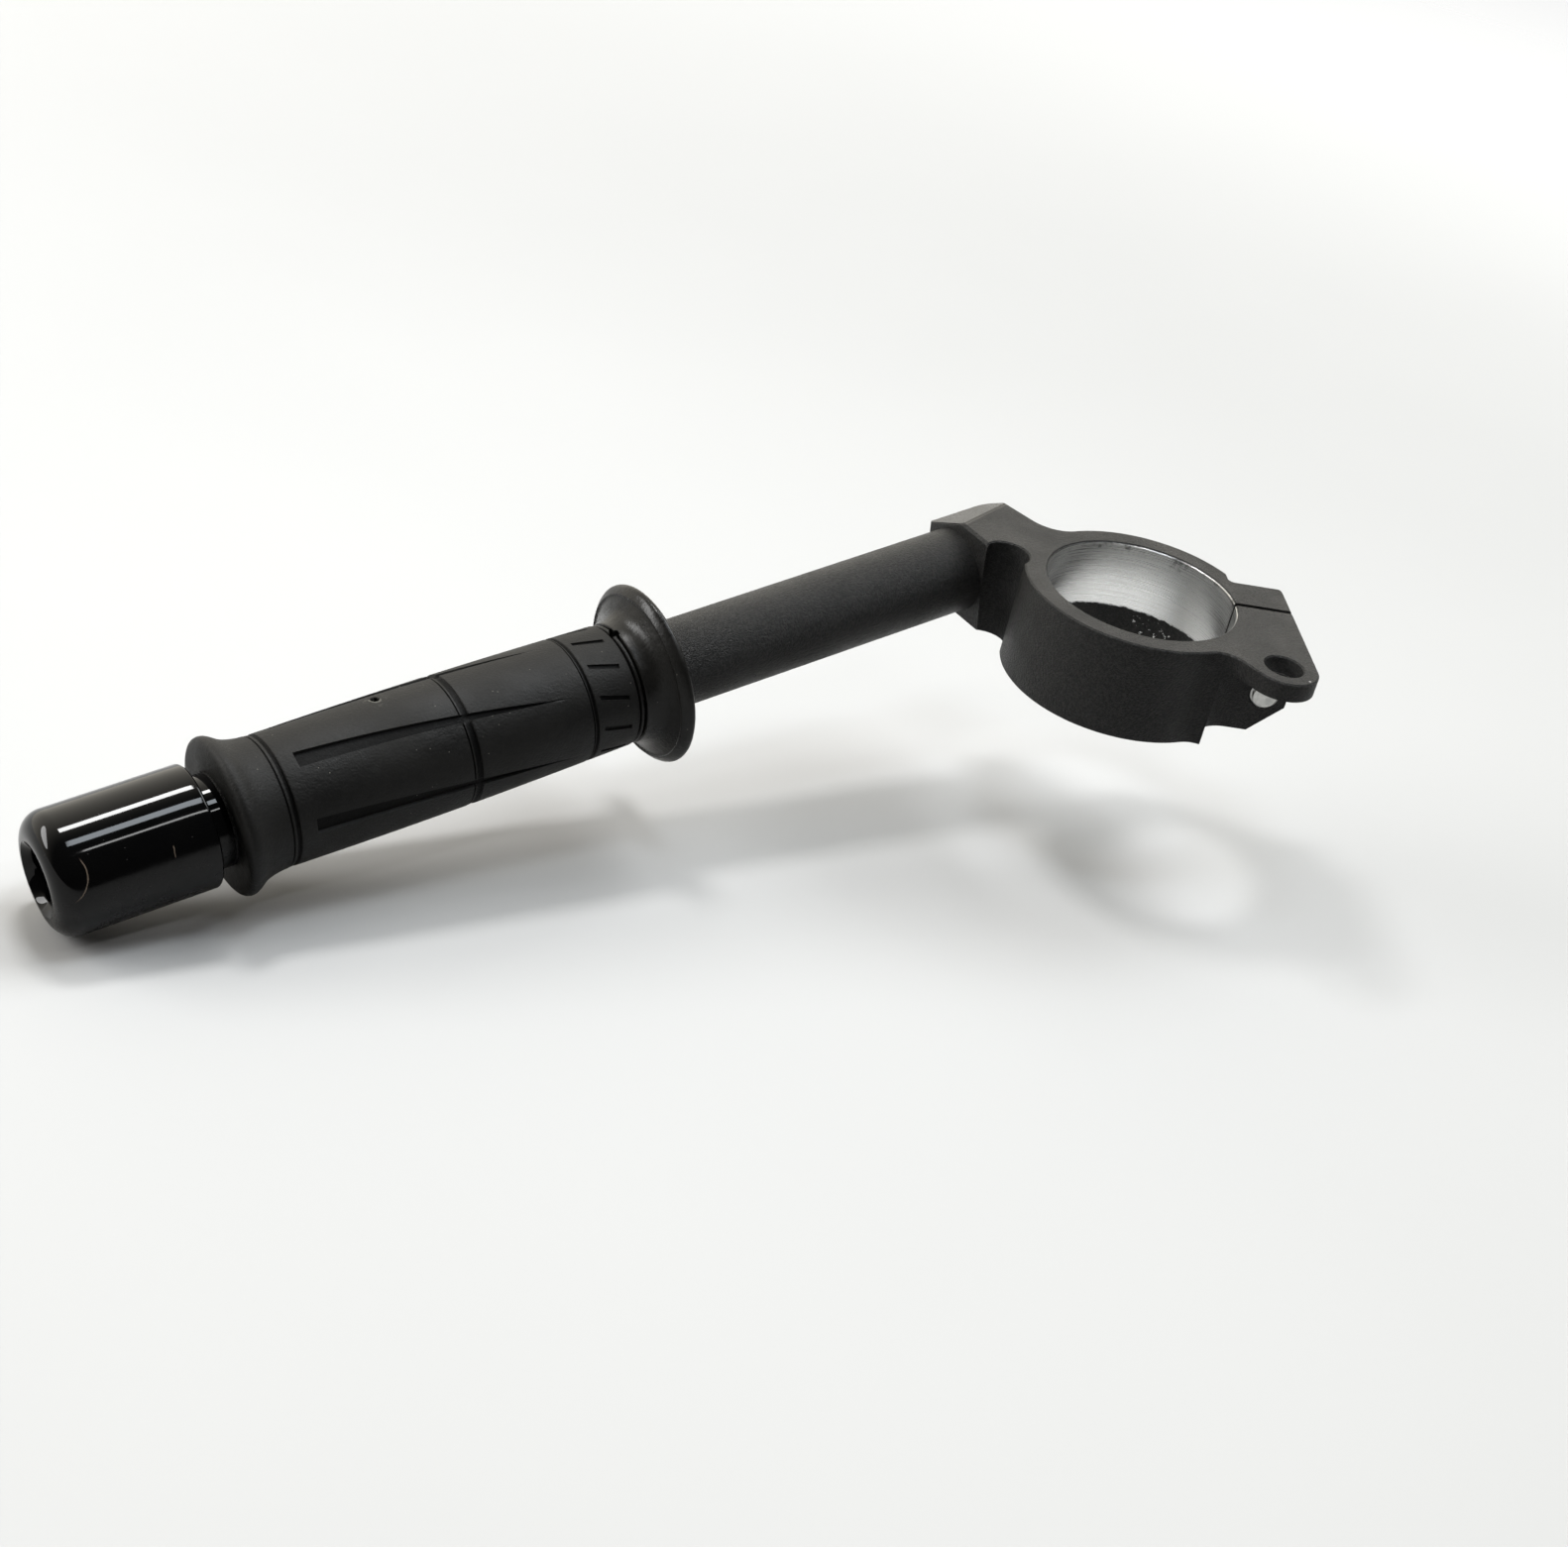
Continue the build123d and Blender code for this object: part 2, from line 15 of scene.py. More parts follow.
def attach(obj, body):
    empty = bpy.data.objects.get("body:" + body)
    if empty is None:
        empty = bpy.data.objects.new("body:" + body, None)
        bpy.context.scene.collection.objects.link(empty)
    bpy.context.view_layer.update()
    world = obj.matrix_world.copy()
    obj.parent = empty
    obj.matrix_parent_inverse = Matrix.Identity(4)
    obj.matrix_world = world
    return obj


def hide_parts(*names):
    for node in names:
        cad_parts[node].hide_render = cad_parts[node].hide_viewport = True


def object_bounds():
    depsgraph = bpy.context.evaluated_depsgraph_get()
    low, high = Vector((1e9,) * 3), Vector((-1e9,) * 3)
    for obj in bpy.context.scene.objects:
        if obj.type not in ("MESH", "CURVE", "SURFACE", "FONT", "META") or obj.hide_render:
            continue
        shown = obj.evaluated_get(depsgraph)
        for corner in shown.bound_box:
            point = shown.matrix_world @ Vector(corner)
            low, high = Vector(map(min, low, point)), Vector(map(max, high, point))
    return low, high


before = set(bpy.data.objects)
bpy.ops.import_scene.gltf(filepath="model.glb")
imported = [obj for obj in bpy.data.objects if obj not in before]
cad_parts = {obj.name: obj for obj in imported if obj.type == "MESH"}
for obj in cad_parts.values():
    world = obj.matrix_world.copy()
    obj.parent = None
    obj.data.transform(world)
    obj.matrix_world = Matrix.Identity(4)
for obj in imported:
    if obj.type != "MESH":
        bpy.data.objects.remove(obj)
cad_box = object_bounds()
MM = 0.001
print("CAD nodes:", sorted(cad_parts))

# %% [markdown]
# ## The bar's own frame
# The bar droops, so its pieces are easiest to draw in a frame of their own: x runs out along the bar from the
# middle of its socket, z points up from the bar, and y points to the near side. One matrix then carries a finished
# mesh to its place. The clamp bolt gets a frame of the same kind, with x running along the bolt.

# %% Frame of the bar
droop = radians(10.5)
bar_middle = Vector((-18.9, 43.0, 0.0))
outboard = Vector((-cos(droop), 0.0, -sin(droop)))
upward = Vector((-sin(droop), 0.0, cos(droop)))
near_side = upward.cross(outboard)
bar_axes = Matrix((outboard, near_side, upward)).transposed()
bar_place = Matrix.LocRotScale(bar_middle * MM, bar_axes, (MM, MM, MM))
print("bar points", [round(v, 3) for v in outboard])

# %% Frame of the clamp bolt
slit_turn = radians(-31.0)
slit_along = Vector((cos(slit_turn), sin(slit_turn), 0.0))
slit_across = Vector((-sin(slit_turn), cos(slit_turn), 0.0))
seat_out, seat_side, seat_drop = 34.4, 12.6, -2.5
bolt_seat = slit_along * seat_out + slit_across * seat_side + Vector((0.0, 0.0, seat_drop))
bolt_axes = Matrix((slit_across, slit_along, slit_across.cross(slit_along))).transposed()
bolt_place = Matrix.LocRotScale(bolt_seat * MM, bolt_axes, (MM, MM, MM))
print("bolt points", [round(v, 3) for v in slit_across])

# %% [markdown]
# ## The camera
# The camera stands where the photographer stood, above the bar's outer end and turned a little to one side. Its
# place was worked out from the round bore, the straight bar and the rings of the grip, and its lens from how fast
# the bar narrows with distance. The matrix holds its right, up and backward directions as columns. Black paint and
# white paper sit side by side here, so the picture keeps its true tones and isn't softened like a film.

# %% Camera
sight_right = Vector((0.80672, -0.554497, 0.2043))
sight_up = Vector((0.159893, 0.537639, 0.8279))
sight_back = Vector((-0.568891, -0.635199, 0.5224))
sight_axes = Matrix((sight_right, sight_up, sight_back)).transposed()
camera_data = bpy.data.cameras.new("photo_camera")
camera_data.lens = 60.57
camera_data.sensor_width = 36.0
camera_data.clip_start = 0.01
camera = bpy.data.objects.new("photo_camera", camera_data)
camera.matrix_world = Matrix.LocRotScale(Vector((-466.6, -404.1, 309.0)) * MM, sight_axes, None)
bpy.context.scene.collection.objects.link(camera)
bpy.context.scene.camera = camera
bpy.context.scene.view_settings.view_transform = "Standard"
print("camera at", [round(v, 3) for v in camera.location])

# %% [markdown]
# ## Adding nodes in one line
# Shader and geometry trees are long when each node takes five lines. The first two helpers add a node, set its
# options and fill its inputs in one call. The others build on them, so that a product, a distance or a colour blend
# is one short line.

# %% Node helpers
def fill(tree, made, sockets):
    """Fills a node's inputs, by name or number: a socket is linked, and anything else becomes the input's value."""
    for key, value in sockets.items():
        if isinstance(value, bpy.types.NodeSocket):
            tree.links.new(value, made.inputs[key])
        else:
            made.inputs[key].default_value = value


def node(tree, kind, sockets=None, **options):
    """Adds a node to a tree, sets its options and fills its inputs."""
    made = tree.nodes.new(kind)
    for name, value in options.items():
        setattr(made, name, value)
    fill(tree, made, sockets or {})
    return made


def ramp(tree, value, low, high, to_low=0.0, to_high=1.0, easing="SMOOTHSTEP"):
    """A value eased from one range to another, and held at both ends."""
    sockets = {"Value": value, "From Min": low, "From Max": high, "To Min": to_low, "To Max": to_high}
    return node(tree, "ShaderNodeMapRange", sockets, interpolation_type=easing).outputs["Result"]


def blend(tree, factor, first, second):
    """A colour mixed from two links or colours."""
    pair = [c if isinstance(c, bpy.types.NodeSocket) else (*c, 1.0) for c in (first, second)]
    return node(tree, "ShaderNodeMix", {0: factor, 6: pair[0], 7: pair[1]}, data_type="RGBA").outputs[2]


def noise(tree, vector, scale, detail=2.0, roughness=0.5):
    """A noise value from 0 to 1."""
    sockets = {"Vector": vector, "Scale": scale, "Detail": detail, "Roughness": roughness}
    return node(tree, "ShaderNodeTexNoise", sockets).outputs["Fac"]


# %% Sums and vectors
def sums(tree, operation, *values):
    """One Math node on links or numbers."""
    return node(tree, "ShaderNodeMath", dict(enumerate(values)), operation=operation).outputs[0]


def times(tree, value, *others):
    """The product of links or numbers."""
    for other in others:
        value = sums(tree, "MULTIPLY", value, other)
    return value


def less(tree, value):
    """One minus a value."""
    return sums(tree, "SUBTRACT", 1.0, value)


def gap(tree, first, second):
    """How far apart two values are."""
    return sums(tree, "ABSOLUTE", sums(tree, "SUBTRACT", first, second))


def added(tree, value, other, share=None):
    """A value plus another one, or plus a share of it."""
    return sums(tree, "ADD", value, times(tree, other, share) if share else other)


def span(tree, first, second):
    """The length of two values at right angles."""
    squares = [sums(tree, "POWER", value, 2.0) for value in (first, second)]
    return sums(tree, "SQRT", sums(tree, "ADD", *squares))


def vectors(tree, operation, *values):
    """One Vector Math node: gives its vector, or its number where it makes one."""
    made = node(tree, "ShaderNodeVectorMath", dict(enumerate(values)), operation=operation)
    return made.outputs["Value" if operation in ("LENGTH", "DISTANCE", "DOT_PRODUCT") else "Vector"]


def axes_of(tree, vector):
    """The X, Y and Z of a vector."""
    return node(tree, "ShaderNodeSeparateXYZ", {0: vector}).outputs


def from_axes(tree, **axes):
    """A vector from its X, Y and Z."""
    return node(tree, "ShaderNodeCombineXYZ", axes).outputs[0]


# %% Groups and materials
def group(name, inputs, outputs, kind="ShaderNodeTree"):
    """A node group with named sockets: gives the tree, its input links and its output node."""
    tree = bpy.data.node_groups.new(name, kind)
    for side, wanted in (("INPUT", inputs), ("OUTPUT", outputs)):
        for label, socket in wanted.items():
            tree.interface.new_socket(label, in_out=side, socket_type="NodeSocket" + socket)
    return tree, tree.nodes.new("NodeGroupInput").outputs, tree.nodes.new("NodeGroupOutput")


def tell(made, tree):
    """Prints how many nodes a group or a material has."""
    print(made.name, "has", len(tree.nodes), "nodes")


def placed(tree, shared, **values):
    """A shader group placed in a material, with its own values."""
    sockets = {key.capitalize(): value for key, value in values.items()}
    return node(tree, "ShaderNodeGroup", sockets, node_tree=shared).outputs


def material(name):
    """An empty material: gives its tree, its Principled shader and its Object coordinates."""
    made = bpy.data.materials.new(name)
    made.use_nodes = True
    tree = made.node_tree
    tree.nodes.clear()
    shader = node(tree, "ShaderNodeBsdfPrincipled")
    node(tree, "ShaderNodeOutputMaterial", {"Surface": shader.outputs[0]})
    coordinates = node(tree, "ShaderNodeTexCoord").outputs["Object"]
    return made, tree, shader, coordinates


def bump(tree, shader, height, distance, strength):
    """Drives a shader's Normal from a height."""
    sockets = {"Height": height, "Distance": distance, "Strength": strength}
    fill(tree, shader, {"Normal": node(tree, "ShaderNodeBump", sockets).outputs["Normal"]})


# %% [markdown]
# ## Effects that several finishes share
# Powder coat, rubber and gloss paint all have a fine grain, and all carry dust. Those two effects are built once as
# groups, and each material places them with its own size and strength. A third group turns a point of the model
# into bar places: millimetres along the bar, degrees round it and millimetres from its axis. The grip and the weight
# use it to put a mark where the real one is.

# %% Grain
grain, given, result = group(
    "fine_grain",
    {"Vector": "Vector", "Size": "Float", "Mottle": "Float"},
    {"Height": "Float", "Tone": "Float"},
)
fine = noise(grain, given["Vector"], given["Size"], 3.0, 0.55)
patches = noise(grain, given["Vector"], given["Mottle"], 2.0, 0.5)
tone = added(grain, times(grain, fine, 0.45), patches, 0.55)
fill(grain, result, {"Height": fine, "Tone": tone})
tell(grain, grain)

# %% Dust
dust, given, result = group(
    "dust_specks",
    {"Vector": "Vector", "Cells": "Float", "Share": "Float"},
    {"Mask": "Float"},
)
cells = node(dust, "ShaderNodeTexVoronoi", {"Vector": given["Vector"], "Scale": given["Cells"]}).outputs
chosen = node(dust, "ShaderNodeSeparateColor", {"Color": cells["Color"]}).outputs["Red"]
kept = sums(dust, "LESS_THAN", chosen, given["Share"])
speck = ramp(dust, cells["Distance"], 0.16, 0.08)
fill(dust, result, {"Mask": times(dust, kept, speck)})
tell(dust, dust)

# %% Places along the bar
along_bar, given, result = group("along_bar", {"Vector": "Vector"}, {"Place": "Vector"})
into_bar = {
    "Vector": given["Vector"],
    "Location": bar_middle * MM,
    "Rotation": bar_axes.to_euler(),
    "Scale": (MM, MM, MM),
}
mapped = node(along_bar, "ShaderNodeMapping", into_bar, vector_type="TEXTURE").outputs["Vector"]
parts = axes_of(along_bar, mapped)
turned = sums(along_bar, "DEGREES", sums(along_bar, "ARCTAN2", parts["Y"], parts["Z"]))
radius = span(along_bar, parts["Y"], parts["Z"])
fill(along_bar, result, {"Place": from_axes(along_bar, X=parts["X"], Y=turned, Z=radius)})
tell(along_bar, along_bar)

# %% [markdown]
# ## Satin black powder coat
# Clamp and tube wear a satin black powder coat. It is never quite smooth: the powder melts into a fine orange peel,
# which a small bump gives, and pale flecks show in the black. The clamp needs a second finish on the same solid,
# because its bore is bare machined aluminium above a line where the coat begins again. The bore is the inside of a
# cylinder about the z axis, so the distance from that axis tells bare metal from coat, and no edge has to be cut
# into the mesh. The facet on top of the bar's boss is rubbed smoother: it is found as the points close to its plane.

# %% Coat of the tube
coat_relief = {"distance": 0.0007, "strength": 0.75}


def powder_coat(tree, spot):
    """Colour, roughness and grain height of the satin coat at a spot."""
    peel = placed(tree, grain, vector=spot, size=2500.0, mottle=60.0)
    flecks = ramp(tree, noise(tree, spot, 1500.0, 1.0, 0.5), 0.36, 0.66)
    shade = blend(tree, flecks, (0.0004, 0.0004, 0.0004), (0.0105, 0.0102, 0.0092))
    return shade, ramp(tree, peel["Tone"], 0.36, 0.64, 0.36, 0.54), peel["Height"]


tube_coat, tree, shader, spot = material("satin_coat_tube")
shade, satin, peel = powder_coat(tree, spot)
specks = placed(tree, dust, vector=spot, cells=900.0, share=0.03)["Mask"]
dusty = blend(tree, times(tree, specks, 0.3), shade, (0.15, 0.145, 0.13))
fill(tree, shader, {"Base Color": dusty, "Roughness": satin, "Specular IOR Level": 0.24})
bump(tree, shader, peel, **coat_relief)
tell(tube_coat, tree)

# %% Where the clamp is bare
chips = (((23.7, 17.7, 13.4), 0.35), ((-19.7, -23.0, 13.3), 0.15), ((13.2, -49.6, 13.2), 0.45))
clamp_coat, tree, shader, spot = material("satin_coat_clamp")
coat, satin, peel = powder_coat(tree, spot)
in_mm = vectors(tree, "MULTIPLY", spot, (1000.0,) * 3)
parts = axes_of(tree, in_mm)
from_axis = span(tree, parts["X"], parts["Y"])
around = sums(tree, "ARCTAN2", parts["Y"], parts["X"])
ragged = noise(tree, spot, 900.0, 4.0, 0.65)
bore_wall = ramp(tree, added(tree, from_axis, ragged, 0.5), 25.52, 25.38)
coat_line = ramp(tree, added(tree, parts["Z"], ragged, 1.8), -4.4, -3.9)
flake_turn = ramp(tree, gap(tree, around, radians(27.0)), 0.3, 0.18)
flake_height = ramp(tree, gap(tree, parts["Z"], -9.0), 3.0, 1.6)
flakes = ramp(tree, noise(tree, spot, 900.0, 3.0, 0.7), 0.61, 0.64)
flakes = times(tree, flakes, flake_turn, flake_height)
bare = times(tree, bore_wall, sums(tree, "MAXIMUM", coat_line, flakes))
for place, size in chips:
    away = vectors(tree, "DISTANCE", in_mm, place)
    chip = ramp(tree, added(tree, away, ragged, 1.2), size + 0.6, size + 0.4)
    bare = sums(tree, "MAXIMUM", bare, chip)
print("bare metal in the bore and in", len(chips), "chips")

# %% Bare metal of the bore, with a painted highlight
glint_turn = 56.0
score_place = from_axes(tree, X=times(tree, around, 0.2), Z=times(tree, parts["Z"], 3.4))
scoring = noise(tree, score_place, 1.6, 5.0, 0.62)
# noise stains on the bare metal, and the metal made darker towards the top of the bore
stains_darker_at_top = added(tree, noise(tree, spot, 240.0, 3.0, 0.65), ramp(tree, parts["Z"], 8.0, 13.0, -0.1, 0.14))
# painted highlight: the bare metal is painted brighter round one turn of the bore, fading towards its top
painted_glint = ramp(tree, gap(tree, around, radians(glint_turn)), 0.95, 0.2)
painted_glint = times(tree, painted_glint, ramp(tree, parts["Z"], 11.5, 1.0))
lines = ramp(tree, scoring, 0.3, 0.62)
dull_metal = blend(tree, lines, (0.41, 0.41, 0.405), (0.52, 0.52, 0.51))
glint_metal = blend(tree, lines, (0.82, 0.82, 0.81), (0.93, 0.93, 0.92))
metal = blend(tree, painted_glint, dull_metal, glint_metal)
metal = blend(tree, ramp(tree, stains_darker_at_top, 0.64, 0.84), metal, (0.15, 0.15, 0.146))
brushed = ramp(tree, scoring, 0.35, 0.65, 0.22, 0.36)
scored = times(tree, scoring, bare, 0.07)
print("the bore is brightest", glint_turn, "degrees round from x")

# %% Smooth facet, and the clamp's whole coat
facet_side = Vector((-0.163, 0.46, 0.873))
facet_spot = Vector((-15.0, 52.5, 9.99))
off_facet = gap(tree, vectors(tree, "DOT_PRODUCT", in_mm, facet_side), facet_side.dot(facet_spot))
film = ramp(tree, noise(tree, spot, 300.0, 4.0, 0.65), 0.3, 0.7, 0.88, 1.0)
polish = times(tree, ramp(tree, off_facet, 0.45, 0.2), film)
satin = sums(tree, "SUBTRACT", satin, times(tree, polish, 0.18))
peel = times(tree, peel, less(tree, times(tree, polish, 0.75)))
coated = less(tree, bare)
rough = added(tree, times(tree, satin, coated), times(tree, brushed, bare))
shade = blend(tree, bare, coat, metal)
fill(tree, shader, {"Base Color": shade, "Metallic": bare, "Roughness": rough, "Specular IOR Level": 0.26})
bump(tree, shader, added(tree, times(tree, peel, coated), scored), **coat_relief)
tell(clamp_coat, tree)

# %% [markdown]
# ## Rubber, gloss paint and plated steel
# The grip is moulded rubber: nearly black, dull, a little paler where hands have polished it, smoother on the flare
# beside its flange, and pale round a nick, partly torn rubber and partly a painted highlight on its lip. It is made
# three times: for the skin, and twice darker and less shiny as painted shade, for the groove floors and for the
# hollow of the nick and the nub with its hole. The weight is glossy black, so its look is nearly all reflection, and
# only a curved scratch and a short tick break it. A scratch is drawn as the distance from a bowed line across the
# weight's skin. The bolts are plated steel, and the pieces inside the bar are plain steel and soft rubber.

# %% Torn rim of the nick, with a painted highlight
nick = nick_reach, nick_turn, nick_skin = 173.2, -13.5, 16.1
nick_long, nick_wide, nick_shift = 1.05, 1.45, 0.2


def torn_rubber_and_highlight(tree, spot, place):
    """How pale the rubber is round the nick, from bar places: torn rubber and scuffs, and a painted highlight on the
    lit side of the torn lip.
    """
    along = sums(tree, "SUBTRACT", place["X"], nick_reach)
    across = times(tree, sums(tree, "SUBTRACT", place["Y"], nick_turn), radians(nick_skin))
    shifted = added(tree, across, nick_shift)
    bowl = span(tree, sums(tree, "DIVIDE", along, nick_long), sums(tree, "DIVIDE", shifted, nick_wide))
    frayed = noise(tree, spot, 1300.0, 3.0, 0.7)
    edge = added(tree, gap(tree, bowl, 1.2), frayed, 0.5)
    leaning = added(tree, across, along, 0.7)
    # painted highlight: the torn lip is painted pale on its lit side only
    torn = times(tree, ramp(tree, edge, 0.5, 0.3), ramp(tree, leaning, -0.6, 0.5))
    scuff = times(tree, ramp(tree, frayed, 0.52, 0.68), ramp(tree, bowl, 4.0, 1.3))
    return sums(tree, "MAXIMUM", torn, times(tree, scuff, 0.45))


print("nick", nick_reach, "mm along the bar, turned", nick_turn, "degrees")

# %% Rubber of the grip
flare_end = (112.4, 110.6)


def rubber_finish(name, dark, light, gleam, polished, dull):
    """Moulded rubber from two base colours, a specular level and a range of roughness."""
    made, tree, shader, spot = material(name)
    place = axes_of(tree, placed(tree, along_bar, vector=spot)["Place"])
    skin = placed(tree, grain, vector=spot, size=1900.0, mottle=70.0)
    haze = noise(tree, spot, 34.0, 4.0, 0.62)
    worn = added(tree, times(tree, skin["Tone"], 0.5), haze, 0.5)
    shade = blend(tree, ramp(tree, worn, 0.38, 0.62), dark, light)
    specks = placed(tree, dust, vector=spot, cells=900.0, share=0.035)["Mask"]
    shade = blend(tree, times(tree, specks, 0.5), shade, (0.2, 0.19, 0.165))
    pale = torn_rubber_and_highlight(tree, spot, place)
    on_flare = ramp(tree, place["X"], *flare_end)
    matt = added(tree, ramp(tree, worn, 0.36, 0.64, polished, dull), on_flare, -0.25)
    rough = sums(tree, "MAXIMUM", matt, times(tree, pale, 0.8))
    # the pale torn rim: torn rubber, with a painted highlight on the lip
    shade = blend(tree, pale, shade, (0.08, 0.078, 0.067))
    fill(tree, shader, {"Base Color": shade, "Roughness": rough, "Specular IOR Level": gleam})
    relief = times(tree, skin["Height"], less(tree, times(tree, on_flare, 0.8)))
    bump(tree, shader, added(tree, relief, noise(tree, spot, 230.0, 3.0, 0.6), 1.6), 0.0002, 0.65)
    tell(made, tree)
    return made


rubber = rubber_finish("moulded_rubber", (0.002, 0.002, 0.0018), (0.0056, 0.0053, 0.0045), 0.19, 0.46, 0.66)
# painted shade: darker, less shiny rubbers for the groove floors and for the hollow of the nick and the nub
groove_shade_rubber = rubber_finish("groove_shade_rubber", (0.0009, 0.0009, 0.0009), (0.0022, 0.0022, 0.002), 0.09, 0.5, 0.7)
split_shade_rubber = rubber_finish("split_shade_rubber", (0.0006, 0.0006, 0.0006), (0.0014, 0.0014, 0.0013), 0.0, 0.6, 0.8)

# %% Scratches
scratch, given, result = group(
    "bowed_scratch",
    {"Place": "Vector", "Start": "Vector", "End": "Vector", "Bow": "Float", "Width": "Float"},
    {"Mask": "Float"},
)
run = vectors(scratch, "SUBTRACT", given["End"], given["Start"])
reach = vectors(scratch, "SUBTRACT", given["Place"], given["Start"])
unit = vectors(scratch, "NORMALIZE", run)
done = sums(scratch, "DIVIDE", vectors(scratch, "DOT_PRODUCT", reach, unit), vectors(scratch, "LENGTH", run))
side = axes_of(scratch, vectors(scratch, "CROSS_PRODUCT", reach, unit))["Z"]
arch = times(scratch, done, less(scratch, done), given["Bow"], 4.0)
off_line = sums(scratch, "DIVIDE", gap(scratch, side, arch), given["Width"])
ends = times(scratch, ramp(scratch, done, 0.0, 0.12), ramp(scratch, done, 1.0, 0.8))
fill(scratch, result, {"Mask": times(scratch, ends, ramp(scratch, off_line, 1.0, 0.4))})
tell(scratch, scratch)

# %% Gloss paint of the weight
barrel_radius = 14.85


def on_barrel(reach, turn):
    """A place on the weight's skin laid flat, in mm."""
    return Vector((reach, turn * radians(barrel_radius), 0.0))


gloss, tree, shader, spot = material("gloss_paint")
parts = axes_of(tree, placed(tree, along_bar, vector=spot)["Place"])
skin_place = from_axes(tree, X=parts["X"], Y=times(tree, parts["Y"], radians(barrel_radius)))
drift = node(tree, "ShaderNodeTexNoise", {"Vector": skin_place, "Scale": 0.7}).outputs["Color"]
wander = vectors(tree, "ADD", skin_place, vectors(tree, "MULTIPLY", drift, (0.35,) * 3))
curved = {"start": on_barrel(251.6, 43.0), "end": on_barrel(255.4, 81.5), "bow": -2.3, "width": 0.22}
tick = {"start": on_barrel(231.2, 59.0), "end": on_barrel(231.4, 71.0), "bow": 0.0, "width": 0.16}
worn = [placed(tree, scratch, place=wander, **mark)["Mask"] for mark in (curved, tick)]
worn = sums(tree, "MAXIMUM", *worn)
specks = placed(tree, dust, vector=spot, cells=1000.0, share=0.03)["Mask"]
film = noise(tree, spot, 40.0, 3.0, 0.6)
shade = blend(tree, ramp(tree, film, 0.35, 0.7), (0.0008, 0.0008, 0.0009), (0.0016, 0.0016, 0.0016))
shade = blend(tree, times(tree, specks, 0.15), shade, (0.2, 0.19, 0.18))
shade = blend(tree, times(tree, worn, 0.8), shade, (0.13, 0.1, 0.075))
dulled = ramp(tree, noise(tree, spot, 170.0, 4.0, 0.7), 0.3, 0.7, 0.18, 0.34)
dulled = times(tree, dulled, ramp(tree, parts["Y"], 56.0, 86.0))
polished = added(tree, ramp(tree, film, 0.3, 0.7, 0.03, 0.06), worn, 0.4)
rough = added(tree, polished, dulled)
fill(tree, shader, {"Base Color": shade, "Roughness": rough, "Specular IOR Level": 0.19})
bump(tree, shader, noise(tree, spot, 350.0, 2.0), 0.00001, 0.12)
tell(gloss, tree)

# %% Plated steel of the bolts
zinc, tree, shader, spot = material("bright_zinc")
skin = placed(tree, grain, vector=spot, size=1200.0, mottle=260.0)
shade = blend(tree, ramp(tree, skin["Tone"], 0.35, 0.65), (0.34, 0.34, 0.33), (0.54, 0.54, 0.52))
rough = ramp(tree, skin["Tone"], 0.3, 0.7, 0.28, 0.42)
fill(tree, shader, {"Base Color": shade, "Roughness": rough, "Metallic": 1.0})
bump(tree, shader, skin["Height"], 0.00004, 0.3)
tell(zinc, tree)

# %% Plain steel and soft rings inside the bar
steel, tree, shader, spot = material("turned_steel")
skin = placed(tree, grain, vector=spot, size=800.0, mottle=120.0)
stretched = vectors(tree, "MULTIPLY", placed(tree, along_bar, vector=spot)["Place"], (3.0, 0.004, 0.2))
lathe = noise(tree, stretched, 1.0, 4.0, 0.6)
shade = blend(tree, ramp(tree, lathe, 0.35, 0.65), (0.3, 0.3, 0.3), (0.46, 0.46, 0.45))
rough = ramp(tree, skin["Tone"], 0.3, 0.7, 0.3, 0.45)
fill(tree, shader, {"Base Color": shade, "Roughness": rough, "Metallic": 1.0})
bump(tree, shader, lathe, 0.00003, 0.4)

soft_ring, tree, shader, spot = material("soft_ring_rubber")
skin = placed(tree, grain, vector=spot, size=1400.0, mottle=90.0)
shade = blend(tree, skin["Tone"], (0.01, 0.01, 0.01), (0.03, 0.03, 0.028))
fill(tree, shader, {"Base Color": shade, "Roughness": ramp(tree, skin["Tone"], 0.3, 0.7, 0.55, 0.75)})
bump(tree, shader, skin["Height"], 0.00005, 0.4)
print("materials inside the bar:", steel.name, soft_ring.name)

# %% [markdown]
# ## Copies round an axis
# A grip, a weight and a screw head all repeat as they turn: the grip has six wedge grooves, and a socket head has
# six flats. So only one sixth is drawn, and a Geometry Nodes tree turns copies of it round the x axis, welds them
# where they meet and gives them their material. The number of copies and the welding distance are named inputs.

# %% Tree that turns copies round the x axis
def finish_tree(tree, mesh, given, result):
    """Gives a geometry tree's mesh its material and puts it out."""
    finished = node(tree, "GeometryNodeSetMaterial", {"Geometry": mesh, "Material": given["Finish"]})
    fill(tree, result, {"Mesh": finished.outputs[0]})
    tell(tree, tree)


round_copies, given, result = group(
    "copies_round_axis",
    {"Sector": "Geometry", "Copies": "Int", "Weld": "Float", "Finish": "Material"},
    {"Mesh": "Geometry"},
    "GeometryNodeTree",
)
points = node(round_copies, "GeometryNodePoints", {"Count": given["Copies"]}).outputs[0]
step = sums(round_copies, "DIVIDE", 2 * pi, given["Copies"])
angle = times(round_copies, node(round_copies, "GeometryNodeInputIndex").outputs[0], step)
turn = node(round_copies, "FunctionNodeEulerToRotation", {0: from_axes(round_copies, X=angle)}).outputs[0]
on_points = {"Points": points, "Instance": given["Sector"], "Rotation": turn}
copies = node(round_copies, "GeometryNodeInstanceOnPoints", on_points).outputs[0]
whole = node(round_copies, "GeometryNodeRealizeInstances", {0: copies}).outputs[0]
welded = node(round_copies, "GeometryNodeMergeByDistance", {"Geometry": whole, "Distance": given["Weld"]}).outputs[0]
finish_tree(round_copies, welded, given, result)

